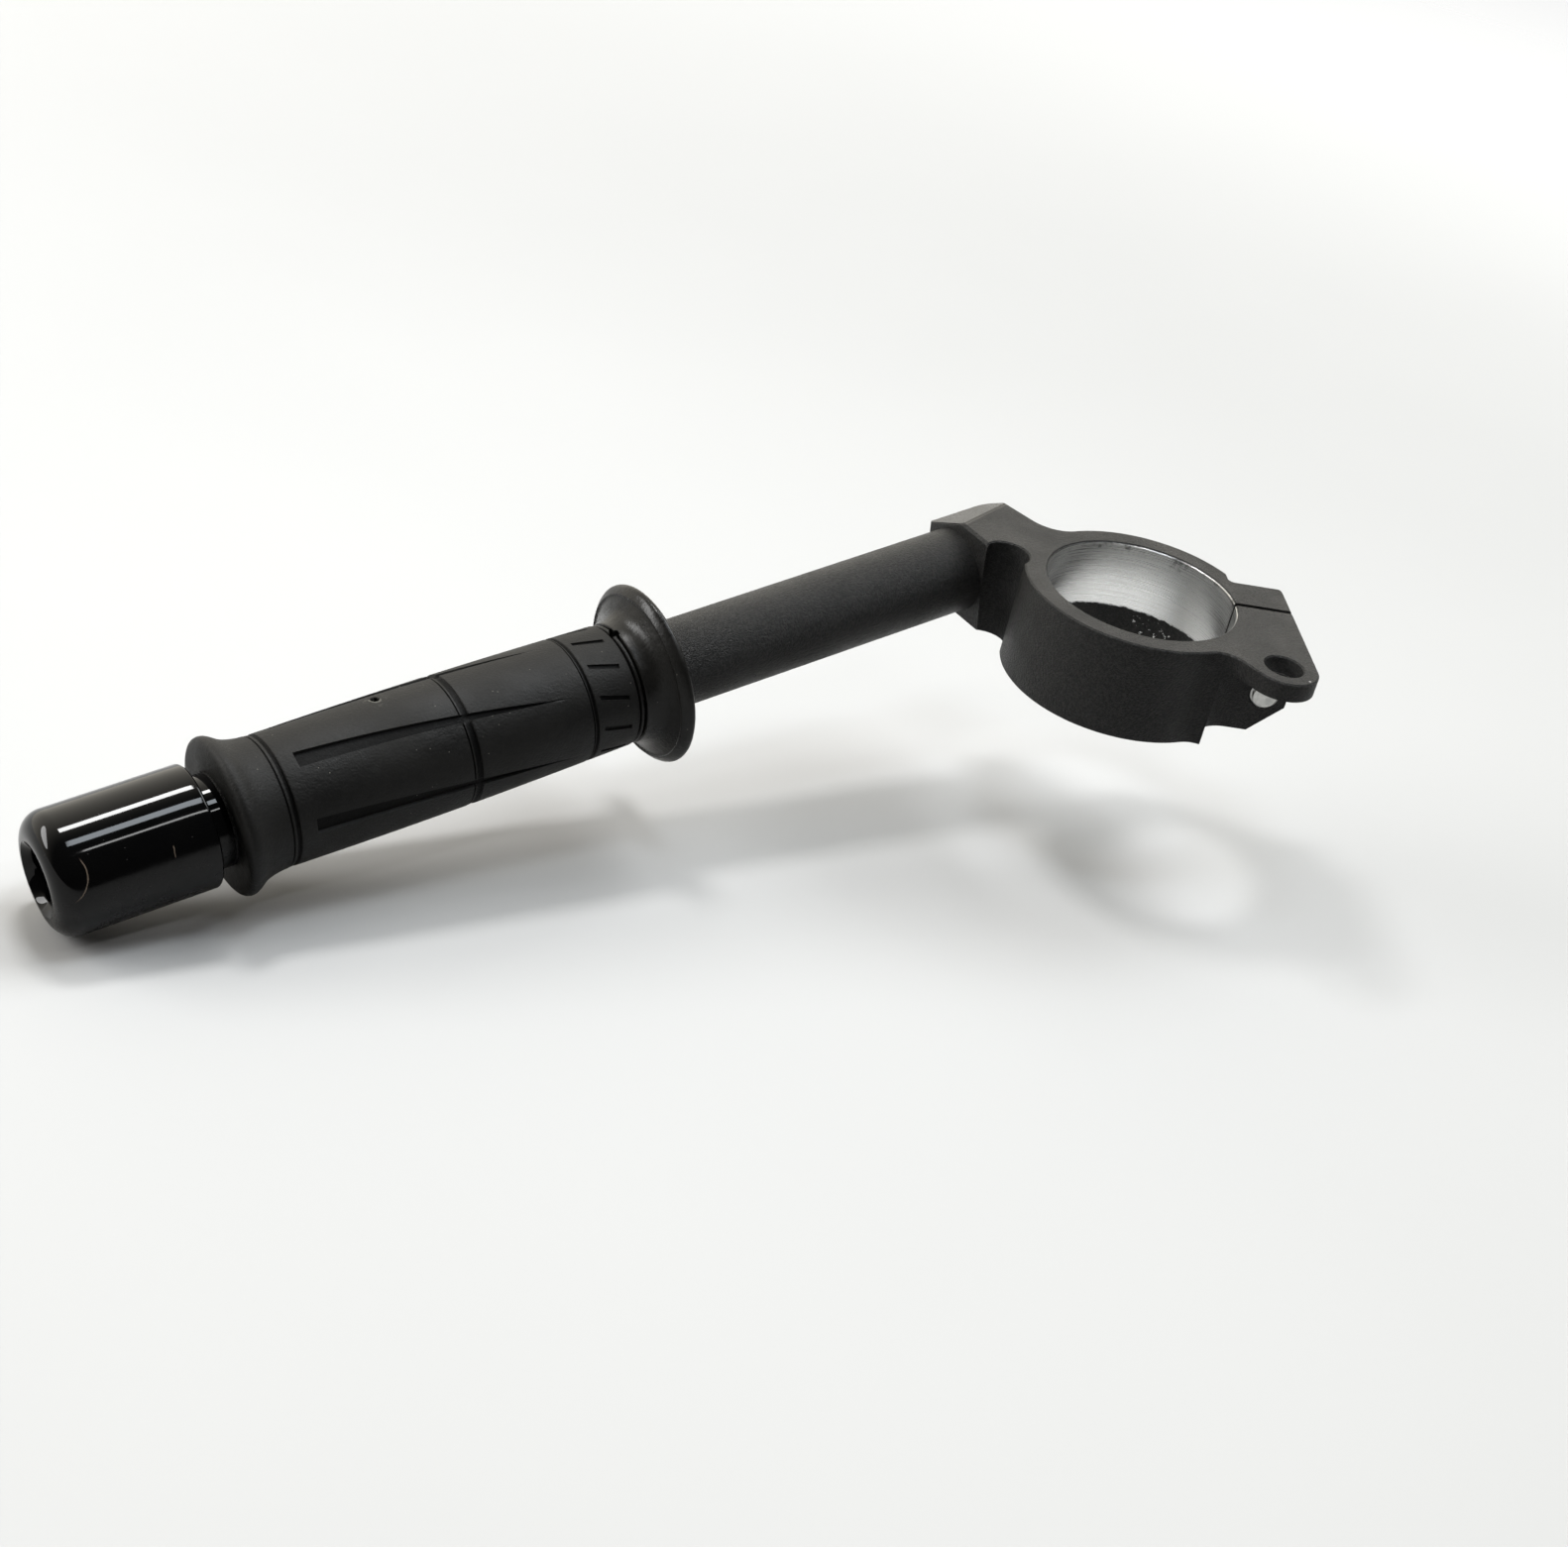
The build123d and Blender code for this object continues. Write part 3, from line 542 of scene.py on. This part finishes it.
# %% From a sector to a finished piece
def new_object(name, vertices, faces):
    """A linked object with a mesh of these points and faces."""
    mesh = bpy.data.meshes.new(name)
    mesh.from_pydata(vertices, [], faces)
    made = bpy.data.objects.new(name, mesh)
    bpy.context.scene.collection.objects.link(made)
    return made


def grown(piece, tree, values):
    """Runs a geometry tree on a piece with named values, and keeps the result as a plain mesh."""
    modifier = piece.modifiers.new("grown", "NODES")
    modifier.node_group = tree
    for item in tree.interface.items_tree:
        if item.in_out == "INPUT" and item.name in values:
            modifier[item.identifier] = values[item.name]
    evaluated = piece.evaluated_get(bpy.context.evaluated_depsgraph_get())
    mesh = bpy.data.meshes.new_from_object(evaluated)
    piece.modifiers.remove(modifier)
    mesh.materials.clear()
    mesh.materials.append(values["Finish"])
    mesh.polygons.foreach_set("material_index", [0] * len(mesh.polygons))
    piece.data = mesh
    return piece


def smoothed(piece, place, sharp=38.0):
    """Carries a finished mesh to its place, with its faces outward and its sharp edges kept."""
    shape = bmesh.new()
    shape.from_mesh(piece.data)
    bmesh.ops.recalc_face_normals(shape, faces=shape.faces)
    shape.to_mesh(piece.data)
    shape.free()
    piece.data.transform(place)
    piece.data.polygons.foreach_set("use_smooth", [True] * len(piece.data.polygons))
    piece.data.set_sharp_from_angle(angle=radians(sharp))
    print(piece.name, "has", sum(len(p.vertices) - 2 for p in piece.data.polygons), "triangles")
    return piece


sixth = 60.0


def sector(name, rows, lanes, point_at, finish):
    """A whole turned piece from one sector: rows go round a closed profile, and point_at(row, lane) gives a point."""
    points = []
    for row in rows:
        for lane in range(lanes + 1):
            reach, radius, turn = point_at(row, lane)
            points.append((reach, radius * sin(radians(turn)), radius * cos(radians(turn))))
    wide = lanes + 1
    faces = []
    for row in range(len(rows)):
        below, above = row * wide, ((row + 1) % len(rows)) * wide
        faces += [(below + lane, below + lane + 1, above + lane + 1, above + lane) for lane in range(lanes)]
    return grown(new_object(name, points, faces), round_copies, {"Copies": 6, "Weld": 0.004, "Finish": finish})


# %% [markdown]
# ## The bar end weight
# The weight is turned on a lathe: a neck, a long barrel with a big rounded nose, and a deep countersunk hole for its
# screw. Its gloss shows every facet, so its profile is drawn with true arcs and many lanes. The profile is a closed
# loop that runs from the spigot in the tube, along the outside and back through the hole.

# %% Weight
weight_lanes = 32


def arc_points(centre, radius, start, end, count):
    """Points on an arc in the profile, with angles in degrees from the bar's direction."""
    turns = [radians(start + (end - start) * i / count) for i in range(count + 1)]
    return [(centre[0] + radius * cos(t), centre[1] + radius * sin(t)) for t in turns]


weight_profile = [
    (208.0, 3.3), (208.0, 6.6), (208.5, 7.1), (216.0, 7.1), (216.0, 11.0), (216.25, 11.25), (219.7, 11.25),
    *arc_points((219.9, 11.75), 0.5, 270.0, 360.0, 5), (220.4, 12.6), (220.4, 14.0),
    *arc_points((221.2, 14.05), 0.8, 180.0, 90.0, 6),
    *[(221.2 + 31.6 * i / 8, barrel_radius) for i in range(1, 8)],
    *arc_points((252.8, 9.35), 5.5, 90.0, 0.0, 20),
    (258.3, 9.15), *arc_points((258.05, 8.95), 0.25, 45.0, 0.0, 1), (256.75, 7.4), (256.4, 7.25),
    (246.0, 7.25), (237.0, 7.25), (236.5, 7.1), (236.3, 6.8), (236.3, 3.3), (222.0, 3.3),
]


def weight_point(row, lane):
    """A point of the weight, which is round."""
    return (*row, sixth * lane / weight_lanes)


weight = sector("bar_end_weight_turned", weight_profile, weight_lanes, weight_point, gloss)
smoothed(weight, bar_place)
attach(weight, "root")
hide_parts("bar_end_weight")

# %% [markdown]
# ## The grip
# The rubber grip carries six long wedge grooves that twist round it and a band of short slanting dashes. Grooves cut
# with booleans leave ragged shading, so the mesh is drawn to fit them: each lane of the sector follows an edge of a
# groove, and its points sink where they lie inside one. Lanes move as they pass from the flange to the band, the
# palm and the lip, and the rows lie close together only where the profile turns.

# %% Curves of the grip
band_start, palm_start, palm_end = 112.3, 124.4, 202.4
palm_curve = ((palm_start, 15.6), (163.4, 16.15), (palm_end, 15.95))


def through(points, at):
    """The parabola through three points."""
    (a, p), (b, q), (c, r) = points
    first = p * (at - b) * (at - c) / ((a - b) * (a - c))
    second = q * (at - a) * (at - c) / ((b - a) * (b - c))
    return first + second + r * (at - a) * (at - b) / ((c - a) * (c - b))


def ease(value, low, high):
    """0 below low, 1 above high, and eased between."""
    share = min(1.0, max(0.0, (value - low) / (high - low)))
    return share * share * (3 - 2 * share)


def spread(start, end, count):
    """Even places from start up to, but without, end."""
    return [start + (end - start) * i / count for i in range(count)]


def body_radius(reach):
    """The band, the crowned palm and the start of the lip, without their grooves."""
    if reach < palm_start:
        return 15.31 + 0.024 * (reach - band_start)
    return through(palm_curve, reach) if reach < palm_end else 15.95 + 0.03 * (reach - palm_end)


print("palm radius", [round(body_radius(reach), 2) for reach in (125.0, 165.0, 202.0)])

# %% Rings of the grip
rings = ((124.35, 0.35, 125.15, 0.13), (156.45, 0.72, 157.85, 0.17), (202.55, 0.45, 203.95, 0.2))


def ring_depth(reach):
    """Each ring is a wide groove, a low bead and a fine line beside it."""
    deepest = 0.0
    for middle, half, line, line_half in rings:
        wide = 0.65 * (1 - ease(abs(reach - middle), half - 0.1, half + 0.1))
        fine = 0.42 * (1 - ease(abs(reach - line), line_half - 0.06, line_half + 0.08))
        bead = 0.1 * ease(reach, middle, middle + half) * (1 - ease(reach, line, line + line_half))
        deepest = max(deepest, wide, fine, bead)
    return deepest


def ring_places(middle, half, line, line_half):
    """Close rows where the profile of a ring turns."""
    turns = [middle - half, middle + half, line - line_half, line + line_half]
    places = [edge + step for edge in turns for step in (-0.13, -0.07, 0.0, 0.07, 0.13)]
    places += [middle - half - 0.5, middle, (middle + half + line - line_half) / 2, line, line + line_half + 0.5]
    return sorted(places)


print("rings at", [ring[0] for ring in rings])

# %% Rows of the grip
bore_radius = 11.15
flange = [
    (101.0, bore_radius), (100.9, 11.3), (100.9, 13.5), (100.9, 16.5), (100.9, 19.5), (100.9, 21.3), (100.96, 21.9),
    (101.12, 22.35), (101.4, 22.68), (101.75, 22.86), (102.1, 22.9), (102.5, 22.82), (103.0, 22.5), (103.5, 22.06),
    (103.9, 21.62), (104.2, 21.28), (104.36, 21.06), (104.38, 20.94),
]
flare = [
    (104.3, 20.82), (104.16, 20.68), (104.14, 20.54), (104.22, 20.4), (104.42, 20.0), (104.75, 19.45), (105.2, 18.75),
    (105.6, 18.05), (106.1, 17.4), (106.7, 16.8), (107.4, 16.3), (108.2, 15.88), (109.0, 15.58), (109.6, 15.42),
    (110.0, 15.34),
]
collar = [
    (110.12, 15.3), (110.24, 15.15), (110.32, 14.85), (110.4, 14.45), (110.52, 14.3), (110.66, 14.35), (110.76, 14.6),
    (110.86, 14.85), (110.98, 15.02), (111.15, 15.1), (111.32, 15.12), (111.5, 15.08), (111.64, 14.95),
    (111.74, 14.72), (111.84, 14.45), (111.98, 14.32), (112.14, 14.32), (112.26, 14.45), (112.34, 14.8),
    (112.42, 15.12), (112.52, 15.26), (112.7, 15.32),
]
band_places = [
    113.2, 113.9, 114.3, 114.5, 114.58, 114.66, 114.74, 114.86, 115.1, 115.5, 116.2, 117.0, 117.8, 118.55, 119.3,
    120.1, 120.9, 121.6, 122.0, 122.24, 122.36, 122.44, 122.52, 122.6, 122.8, 123.2,
]
wedge_ends = [197.6, 197.85, 198.0, 198.1, 198.22, 198.5, 199.4, 200.4]
palm_places = ring_places(*rings[0]) + spread(126.2, 129.4, 4) + spread(129.4, 155.0, 14)
palm_places += ring_places(*rings[1]) + spread(158.9, 170.4, 5) + spread(170.4, 176.0, 10) + spread(176.0, 197.6, 10)
palm_places += wedge_ends + ring_places(*rings[2])
lip = [
    (205.4, 16.06), (206.6, 16.24), (207.8, 16.47), (208.8, 16.73), (209.7, 17.04), (210.5, 17.42), (211.2, 17.86),
    (211.8, 18.28), (212.4, 18.67), (213.0, 18.96), (213.6, 19.13), (214.1, 19.16), (214.6, 19.02), (215.0, 18.72),
    (215.3, 18.3), (215.52, 17.8), (215.64, 17.2), (215.7, 16.4), (215.66, 15.4), (215.6, 14.2), (215.6, 12.8),
    (215.6, 11.6), (215.5, 11.2),
]
bore_places = (213.0, *range(205, 114, -10), 107.0)
body = [(reach, body_radius(reach) - ring_depth(reach)) for reach in band_places + palm_places]
grip_rows = flange + flare + collar + body + lip + [(reach, bore_radius) for reach in bore_places]
print("grip profile:", len(grip_rows), "rows")

# %% Lanes of the grip
grip_lanes = 24
wedge_start, wedge_end = 129.4, 198.1
wedge_low = ((wedge_start, 49.6), (158.0, 32.1), (wedge_end, 16.5))
wedge_high = ((wedge_start, 49.6), (158.0, 39.4), (wedge_end, 31.0))
dash_place = 118.55
dash_lanes = (-2.9, -2.36, -1.84, 1.84, 2.36, 2.9)
band_lanes = [-13.0, -7.0, *dash_lanes, *[2.9 + 24.2 * i / 7 for i in range(1, 7)]]
band_lanes += [*[30.0 + lane for lane in dash_lanes], *[32.9 + 14.1 * i / 5 for i in range(1, 5)], 47.0]


def wedge_edges(reach):
    """Turns of a wedge's two edges, in degrees; it keeps its end values past its ends."""
    held = min(wedge_end, max(wedge_start, reach))
    low, high = through(wedge_low, held), through(wedge_high, held)
    middle, half = (low + high) / 2, max((high - low) / 2, 0.16)
    return middle - half, middle + half


def wedge_wall(low, high):
    """How many degrees each side wall of a wedge takes up."""
    return min(0.9, 0.3 * (high - low))


def palm_lane(reach, lane):
    """Seven lanes follow a wedge, and the rest spread evenly to the next one."""
    low, high = wedge_edges(reach)
    wall = wedge_wall(low, high)
    lanes = [low - 1.1, low, low + wall, (low + high) / 2, high - wall, high, high + 1.1]
    if lane < len(lanes):
        return lanes[lane]
    rest = grip_lanes - len(lanes) + 1
    return lanes[-1] + (sixth + lanes[0] - lanes[-1]) * (lane - len(lanes) + 1) / rest


def dash_middle(reach):
    """Turn of the first dash's middle line, past the start of the sector."""
    return 61.5 + (dash_place - reach) * 1.06


print("lanes of one sixth:", grip_lanes)

# %% Grooves of the grip
wedge_sink, dash_sink = 0.8, 0.5
dash_half, dash_reach, dash_corner = 0.6, 3.95, 0.3
flange_turn, lip_turn, bore_twist = 48.5, 15.4, 33.1


def lane_turn(reach, lane):
    """Where a lane of the sector runs at a reach."""
    on_flange = flange_turn + sixth * lane / grip_lanes
    on_band = dash_middle(reach) + band_lanes[lane]
    if reach < band_start:
        return on_flange + ease(reach, 110.0, band_start) * (on_band - on_flange)
    if reach < 129.0:
        return on_band + ease(reach, 122.6, 128.8) * (palm_lane(reach, lane) - on_band)
    on_lip = lip_turn + sixth * lane / grip_lanes
    return palm_lane(reach, lane) + ease(reach, 198.6, 202.0) * (on_lip - palm_lane(reach, lane))


def wedge_depth(reach, turn, radius):
    """How deep a wedge groove is at a place."""
    low, high = wedge_edges(reach)
    width, wall = radians(high - low) * radius, wedge_wall(low, high)
    inside = ease(turn, low - 0.02, low + wall) * ease(-turn, -high - 0.02, -high + wall)
    return wedge_sink * inside * ease(width, 0.05, 1.1) * (1 - ease(reach, 197.9, 198.15))


def grip_point(row, lane):
    """A point of the grip: it sinks inside a wedge or a dash."""
    reach, radius = row
    if radius < 11.2:
        twist = bore_twist * (213.0 - reach) / (213.0 - 101.0)
        return reach, radius, lip_turn + twist + sixth * lane / grip_lanes
    turn = lane_turn(reach, lane)
    if 129.0 < reach < 198.2:
        radius = min(radius, body_radius(reach) - wedge_depth(reach, turn, radius))
    if abs(reach - dash_place) < dash_reach + 0.05:
        for first in (0.0, 30.0):
            across = radians(turn - dash_middle(reach) - first) * radius
            past_end = max(0.0, abs(reach - dash_place) - dash_reach + dash_corner)
            past_side = max(0.0, abs(across) - dash_half + dash_corner)
            away = sqrt(past_end**2 + past_side**2) - dash_corner
            radius -= dash_sink * (1 - ease(away, -0.12, 0.03))
    return reach, radius, turn


grip = sector("grip_moulded", grip_rows, grip_lanes, grip_point, rubber)
print(grip.name, "has", len(grip.data.vertices), "points")

# %% [markdown]
# ## Knocks on the grip
# The real grip has a small crescent nick near its top and a torn nub of rubber in the collar beside the flange.
# Both are small dents and bumps, so the mesh is split more finely around them and its points are pushed along the
# line from the bar's axis. The faces down in the grooves get a darker, duller rubber of their own as painted shade,
# and the faces in the nick and the nub get the split shade rubber, the darkest painted shade.

# %% Shapes of the nick and of the torn nub
nub = (110.9, -0.4, 15.3)


def bar_polar(point):
    """Reach, turn and radius of a point in the bar's frame."""
    return point.x, degrees(atan2(point.y, point.z)), sqrt(point.y**2 + point.z**2)


def away_from(knock, reach, turn):
    """How far a place lies from the nick or the nub, along the bar and across it, in mm."""
    return reach - knock[0], radians(turn - knock[1]) * knock[2]


def mound(along, across, size):
    """A round mound: 1 in its middle and 0 past its size."""
    return 1 - ease(sqrt(along**2 + across**2), 0.2 * size, size)


def nick_bowl(along, across):
    """How far a spot lies from the middle of the nick: 1 on its rim."""
    return sqrt((along / nick_long) ** 2 + ((across + nick_shift) / nick_wide) ** 2)


def nick_push(along, across):
    """The nick is a bowl with a torn lip on its near side."""
    bowl = nick_bowl(along, across)
    torn = (1 - ease(abs(bowl - 1.15), 0.06, 0.22)) * ease(across, -0.7, 0.2)
    return 0.1 * torn * (1.0 + 0.4 * sin(7.0 * along)) - 1.5 * (1 - ease(bowl, 0.72, 1.02))


def nub_push(along, across, radius):
    """The nub is two crumbs of rubber that stand out of the collar, with a hole between them."""
    crumbs = max(mound(along + 0.25, across - 0.6, 0.95), mound(along - 0.55, across + 0.65, 0.8))
    return crumbs * (16.35 - radius) - 1.0 * mound(along + 0.1, across + 0.05, 0.5)


print("deepest point of the nick:", round(nick_push(0.0, -nick_shift), 2), "mm")

# %% Nick and torn nub
knocks = ((*nick[:2], 3.2), (*nub[:2], 1.8))
inner_radius = 12
shape = bmesh.new()
shape.from_mesh(grip.data)
for middle, turn_middle, size in knocks:
    for _ in range(2):
        close = []
        for edge in shape.edges:
            reach, turn, radius = bar_polar((edge.verts[0].co + edge.verts[1].co) / 2)
            across = abs(radians(turn - turn_middle)) * radius
            if radius > inner_radius and abs(reach - middle) < size and across < size:
                close.append(edge)
        bmesh.ops.subdivide_edges(shape, edges=close, cuts=1, use_grid_fill=True)
        print(len(close), "edges split at", middle)
for vertex in shape.verts:
    reach, turn, radius = bar_polar(vertex.co)
    push = 0.0
    if radius > inner_radius and abs(reach - nick_reach) < 3.0 and abs(turn - nick_turn) < 11.0:
        push = nick_push(*away_from(nick, reach, turn))
    if radius > inner_radius and abs(reach - nub[0]) < 1.6 and abs(turn - nub[1]) < 6.5:
        push = nub_push(*away_from(nub, reach, turn), radius)
    vertex.co.y *= (radius + push) / radius
    vertex.co.z *= (radius + push) / radius

# %% Floors of the grooves
def depth_kind(vertex):
    """0 on the skin of the grip, 1 down in a groove, and 2 in the nick or the nub."""
    reach, turn, radius = bar_polar(vertex.co)
    if radius < inner_radius or not 109.5 < reach < 204.6:
        return 0
    along, across = away_from(nub, reach, turn)
    if sqrt(along**2 + across**2) < 1.3 or nick_bowl(*away_from(nick, reach, turn)) < 1.03:
        return 2
    skin = body_radius(reach) if reach > band_start else 15.1
    return int(radius < skin - 0.36)


# painted shade: groove floors get the groove shade rubber, and the nick and the nub the split shade rubber
for finish in (groove_shade_rubber, split_shade_rubber):
    grip.data.materials.append(finish)
for face in shape.faces:
    face.material_index = min(depth_kind(vertex) for vertex in face.verts)
print(sum(face.material_index > 0 for face in shape.faces), "faces lie in grooves")
shape.to_mesh(grip.data)
shape.free()
smoothed(grip, bar_place, 46.0)
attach(grip, "root")
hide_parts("grip")

# %% [markdown]
# ## Socket head screws
# The clamp bolt and the screw in the weight are socket head cap screws. One sixth of the head has one flat of its
# hexagon and six ridges of its knurled side. The thread is a long cylinder whose points move in and out by a
# triangle wave of height and turn, which Geometry Nodes can work out for every point at once.

# %% Tree of a thread
lengths = dict.fromkeys(("Length", "Crest", "Root", "Pitch", "Plain", "Point"), "Float")
thread, given, result = group(
    "thread_on_rod",
    {"Blank": "Geometry", **lengths, "Rings": "Int", "Finish": "Material"},
    {"Mesh": "Geometry"},
    "GeometryNodeTree",
)
blank = {"Vertices": 48, "Side Segments": given["Rings"], "Radius": given["Crest"], "Depth": given["Length"]}
rod = node(thread, "GeometryNodeMeshCylinder", blank).outputs["Mesh"]
place = axes_of(thread, node(thread, "GeometryNodeInputPosition").outputs[0])
up_rod = added(thread, place["Z"], given["Length"], 0.5)
turned = sums(thread, "DIVIDE", sums(thread, "ARCTAN2", place["Y"], place["X"]), 2 * pi)
phase = sums(thread, "FRACT", sums(thread, "SUBTRACT", sums(thread, "DIVIDE", up_rod, given["Pitch"]), turned))
wave = gap(thread, times(thread, phase, 2.0), 1.0)
flank = ramp(thread, wave, 0.15, 0.85, given["Root"], given["Crest"], "LINEAR")
left = sums(thread, "SUBTRACT", given["Length"], up_rod)
past_plain = sums(thread, "SUBTRACT", left, given["Plain"])
fade = ramp(thread, past_plain, 0.0, given["Pitch"], given["Crest"], flank, "LINEAR")
nose = added(thread, sums(thread, "SUBTRACT", given["Crest"], given["Point"]), up_rod)
scale = sums(thread, "DIVIDE", sums(thread, "MINIMUM", fade, nose), given["Crest"])
moved = from_axes(thread, X=left, Y=times(thread, place["X"], scale), Z=times(thread, place["Y"], scale))
laid = node(thread, "GeometryNodeSetPosition", {"Geometry": rod, "Position": moved}).outputs[0]
finish_tree(thread, laid, given, result)

# %% Head of a screw
head_lanes = 24
knurl = tuple(0.28 * share for share in (0.0, 0.35, 1.0, 0.35))


def head_rows(radius, height, rod_radius, key, key_depth):
    """Rows of a socket head from its seat to its socket: kind 1 is knurled and kind 2 is six sided."""
    flat = key / 2
    bottom = height - key_depth
    return [
        (0.0, rod_radius * 0.5, 0), (0.0, radius - 0.5, 0), (0.25, radius - 0.25, 0),
        (0.6, radius, 1), (height * 0.5, radius, 1), (height - 1.0, radius, 1),
        (height - 0.55, radius - 0.05, 0), (height - 0.25, radius - 0.2, 0), (height - 0.05, radius - 0.5, 0),
        (height, radius - 0.9, 0), (height, flat * 1.155 + 0.3, 0), (height - 0.3, flat, 2), (height - 0.6, flat, 2),
        (bottom, flat, 2), (bottom - 0.1, flat * 0.9, 2), (bottom - key * 0.2, 0.4, 0), (rod_radius * 0.1, 0.4, 0),
    ]


def head_point(row, lane):
    """A point of a screw's head."""
    reach, radius, kind = row
    turn = sixth * lane / head_lanes
    if kind == 1:
        radius -= knurl[lane % len(knurl)]
    if kind == 2:
        radius /= cos(radians(turn - 30.0))
    return reach, radius, turn


print("knurl ridges round a head:", 6 * head_lanes // len(knurl))

# %% Screws
def socket_screw(name, node_name, place, head, rod_radius, rod_length, pitch, plain, point):
    """A socket head cap screw: x runs from the seat to the top of the head, and the rod runs the other way."""
    made = sector(name, head, head_lanes, head_point, zinc)
    rod = new_object(name + "_rod", [(0.0, 0.0, 0.0)], [])
    values = {"Length": rod_length, "Crest": rod_radius, "Root": rod_radius - 0.6 * pitch, "Pitch": pitch}
    values |= {"Plain": plain, "Point": point, "Rings": int(rod_length / pitch * 10), "Finish": zinc}
    grown(rod, thread, values)
    rod.data.transform(Matrix.Rotation(pi, 4, "Z"))
    joined = bmesh.new()
    joined.from_mesh(made.data)
    joined.from_mesh(rod.data)
    joined.to_mesh(made.data)
    joined.free()
    bpy.data.objects.remove(rod)
    smoothed(made, place, 32.0)
    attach(made, "root")
    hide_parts(node_name)


bolt_head = head_rows(radius=6.5, height=8.0, rod_radius=4.0, key=6.0, key_depth=4.5)
socket_screw(
    "clamp_bolt_knurled", "pinch_bolt", bolt_place, bolt_head,
    rod_radius=4.0, rod_length=30.0, pitch=1.25, plain=6.0, point=0.8,
)
screw_head = head_rows(radius=5.0, height=6.0, rod_radius=3.0, key=5.0, key_depth=3.0)
screw_place = bar_place @ Matrix.Translation((236.3, 0.0, 0.0))
socket_screw(
    "bar_end_screw_knurled", "bar_end_screw", screw_place, screw_head,
    rod_radius=3.0, rod_length=46.3, pitch=1.0, plain=20.0, point=0.5,
)

# %% [markdown]
# ## The solids that stay
# The clamp, the tube and the pieces inside the bar are already the right shape, so they keep their CAD meshes and
# only change their materials. A CAD mesh is never moved or edited.

# %% Materials of the CAD nodes
finishes = {
    "fork_clamp": clamp_coat,
    "handlebar_tube": tube_coat,
    "inner_weight": steel,
    "retainer_clip": steel,
    "damper_ring_inner": soft_ring,
    "damper_ring_outer": soft_ring,
}
for name, finish in finishes.items():
    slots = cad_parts[name].material_slots
    for place in slots:
        place.material = finish
    print(name, "wears", finish.name, "in", len(slots), "slot")

# %% [markdown]
# ## Floor and light
# The photograph is a studio picture on white. A broad floor lies at the part's lowest point, painted a darker grey
# round the part as painted shade, so as not to wash the part out, paler further off, and fading into the pale
# background. Three short strip lamps hang over the weight: on its gloss they draw the three bright lines that the
# photograph shows, because a line on a cylinder is the mirror image of a lamp along it. A soft oval lamp stands at
# the left, a square one fills in from the right, and the sky is brighter on the far side, along y.

# %% Floor
floor_half, floor_level = 6.0, cad_box[0].z - 0.0005
corners = [(-1, -1), (1, -1), (1, 1), (-1, 1)]
floor = new_object("floor", [(x * floor_half, y * floor_half, 0.0) for x, y in corners], [(0, 1, 2, 3)])
floor.data.transform(Matrix.Translation((0.0, 0.0, floor_level)))
pale, tree, shader, spot = material("pale_floor")
paper_and_shade = blend(tree, noise(tree, spot, 6.0), (0.4, 0.4, 0.397), (0.42, 0.42, 0.417))
from_middle = vectors(tree, "LENGTH", spot)
# painted shade: the floor is a darker grey round the part and paler further off
paper_and_shade = blend(tree, ramp(tree, from_middle, 0.3, 1.25), paper_and_shade, (0.7, 0.7, 0.696))
fade = ramp(tree, from_middle, 1.35, 0.6)
fill(tree, shader, {"Base Color": paper_and_shade, "Alpha": fade, "Roughness": 0.85, "Specular IOR Level": 0.2})
floor.data.materials.append(pale)
print("floor at", round(floor_level, 4), "m")

# %% Lamps
def lamp(name, place, aim, size, power, colour, shape="RECTANGLE"):
    """A lamp at a place, facing a point, with its length as near to x as that allows."""
    data = bpy.data.lights.new(name, "AREA")
    data.shape = shape
    data.size, data.size_y = size
    data.energy = power
    data.color = colour
    made = bpy.data.objects.new(name, data)
    back = (place - aim).normalized()
    along = Vector((1.0, 0.0, 0.0)) - back * back.x
    along.normalize()
    made.matrix_world = Matrix.LocRotScale(place, Matrix((along, back.cross(along), back)).transposed(), None)
    bpy.context.scene.collection.objects.link(made)
    print(name, "gives", round(power, 2), "W")


weight_top = Vector((-0.25, 0.043, -0.03))
white, cool, pearl = (1.0, 1.0, 1.0), (0.86, 0.93, 1.0), (0.95, 0.98, 1.0)
for name, direction, distance, size, glow, colour, *shape in (
    ("strip_back", (0.08, 0.352, 0.932), 0.7, (0.17, 0.098), 54.0, white),
    ("strip_top", (0.1, -0.143, 0.985), 0.7, (0.17, 0.115), 17.0, cool),
    ("strip_front", (0.2, -0.462, 0.864), 0.7, (0.24, 0.036), 18.0, white),
    ("soft_left", (-0.74, 0.52, 0.43), 1.8, (1.4, 0.55), 11.2, white, "ELLIPSE"),
):
    place = weight_top + Vector(direction) * distance
    lamp(name, place, weight_top, size, glow * pi * size[0] * size[1], colour, *shape)
lamp("soft_fill", Vector((1.0, 0.1, 1.75)), Vector((0.1, 0.0, -0.06)), (1.3, 1.3), 48.0, pearl)

# %% Pale background and sky
world = bpy.data.worlds.new("studio")
world.use_nodes = True
bpy.context.scene.world = world
tree = world.node_tree
tree.nodes.clear()
direction = node(tree, "ShaderNodeTexCoord").outputs["Generated"]
towards = vectors(tree, "DOT_PRODUCT", direction, (0.0, 1.0, 0.0))
sky = blend(tree, ramp(tree, towards, -0.1, 0.9), (0.06, 0.06, 0.062), (1.9, 1.81, 1.61))
seen = node(tree, "ShaderNodeLightPath").outputs["Is Camera Ray"]
sky = blend(tree, seen, sky, (0.9, 0.9, 0.9))
background = node(tree, "ShaderNodeBackground", {"Color": sky, "Strength": 1.0}).outputs[0]
node(tree, "ShaderNodeOutputWorld", {"Surface": background})
tell(world, tree)
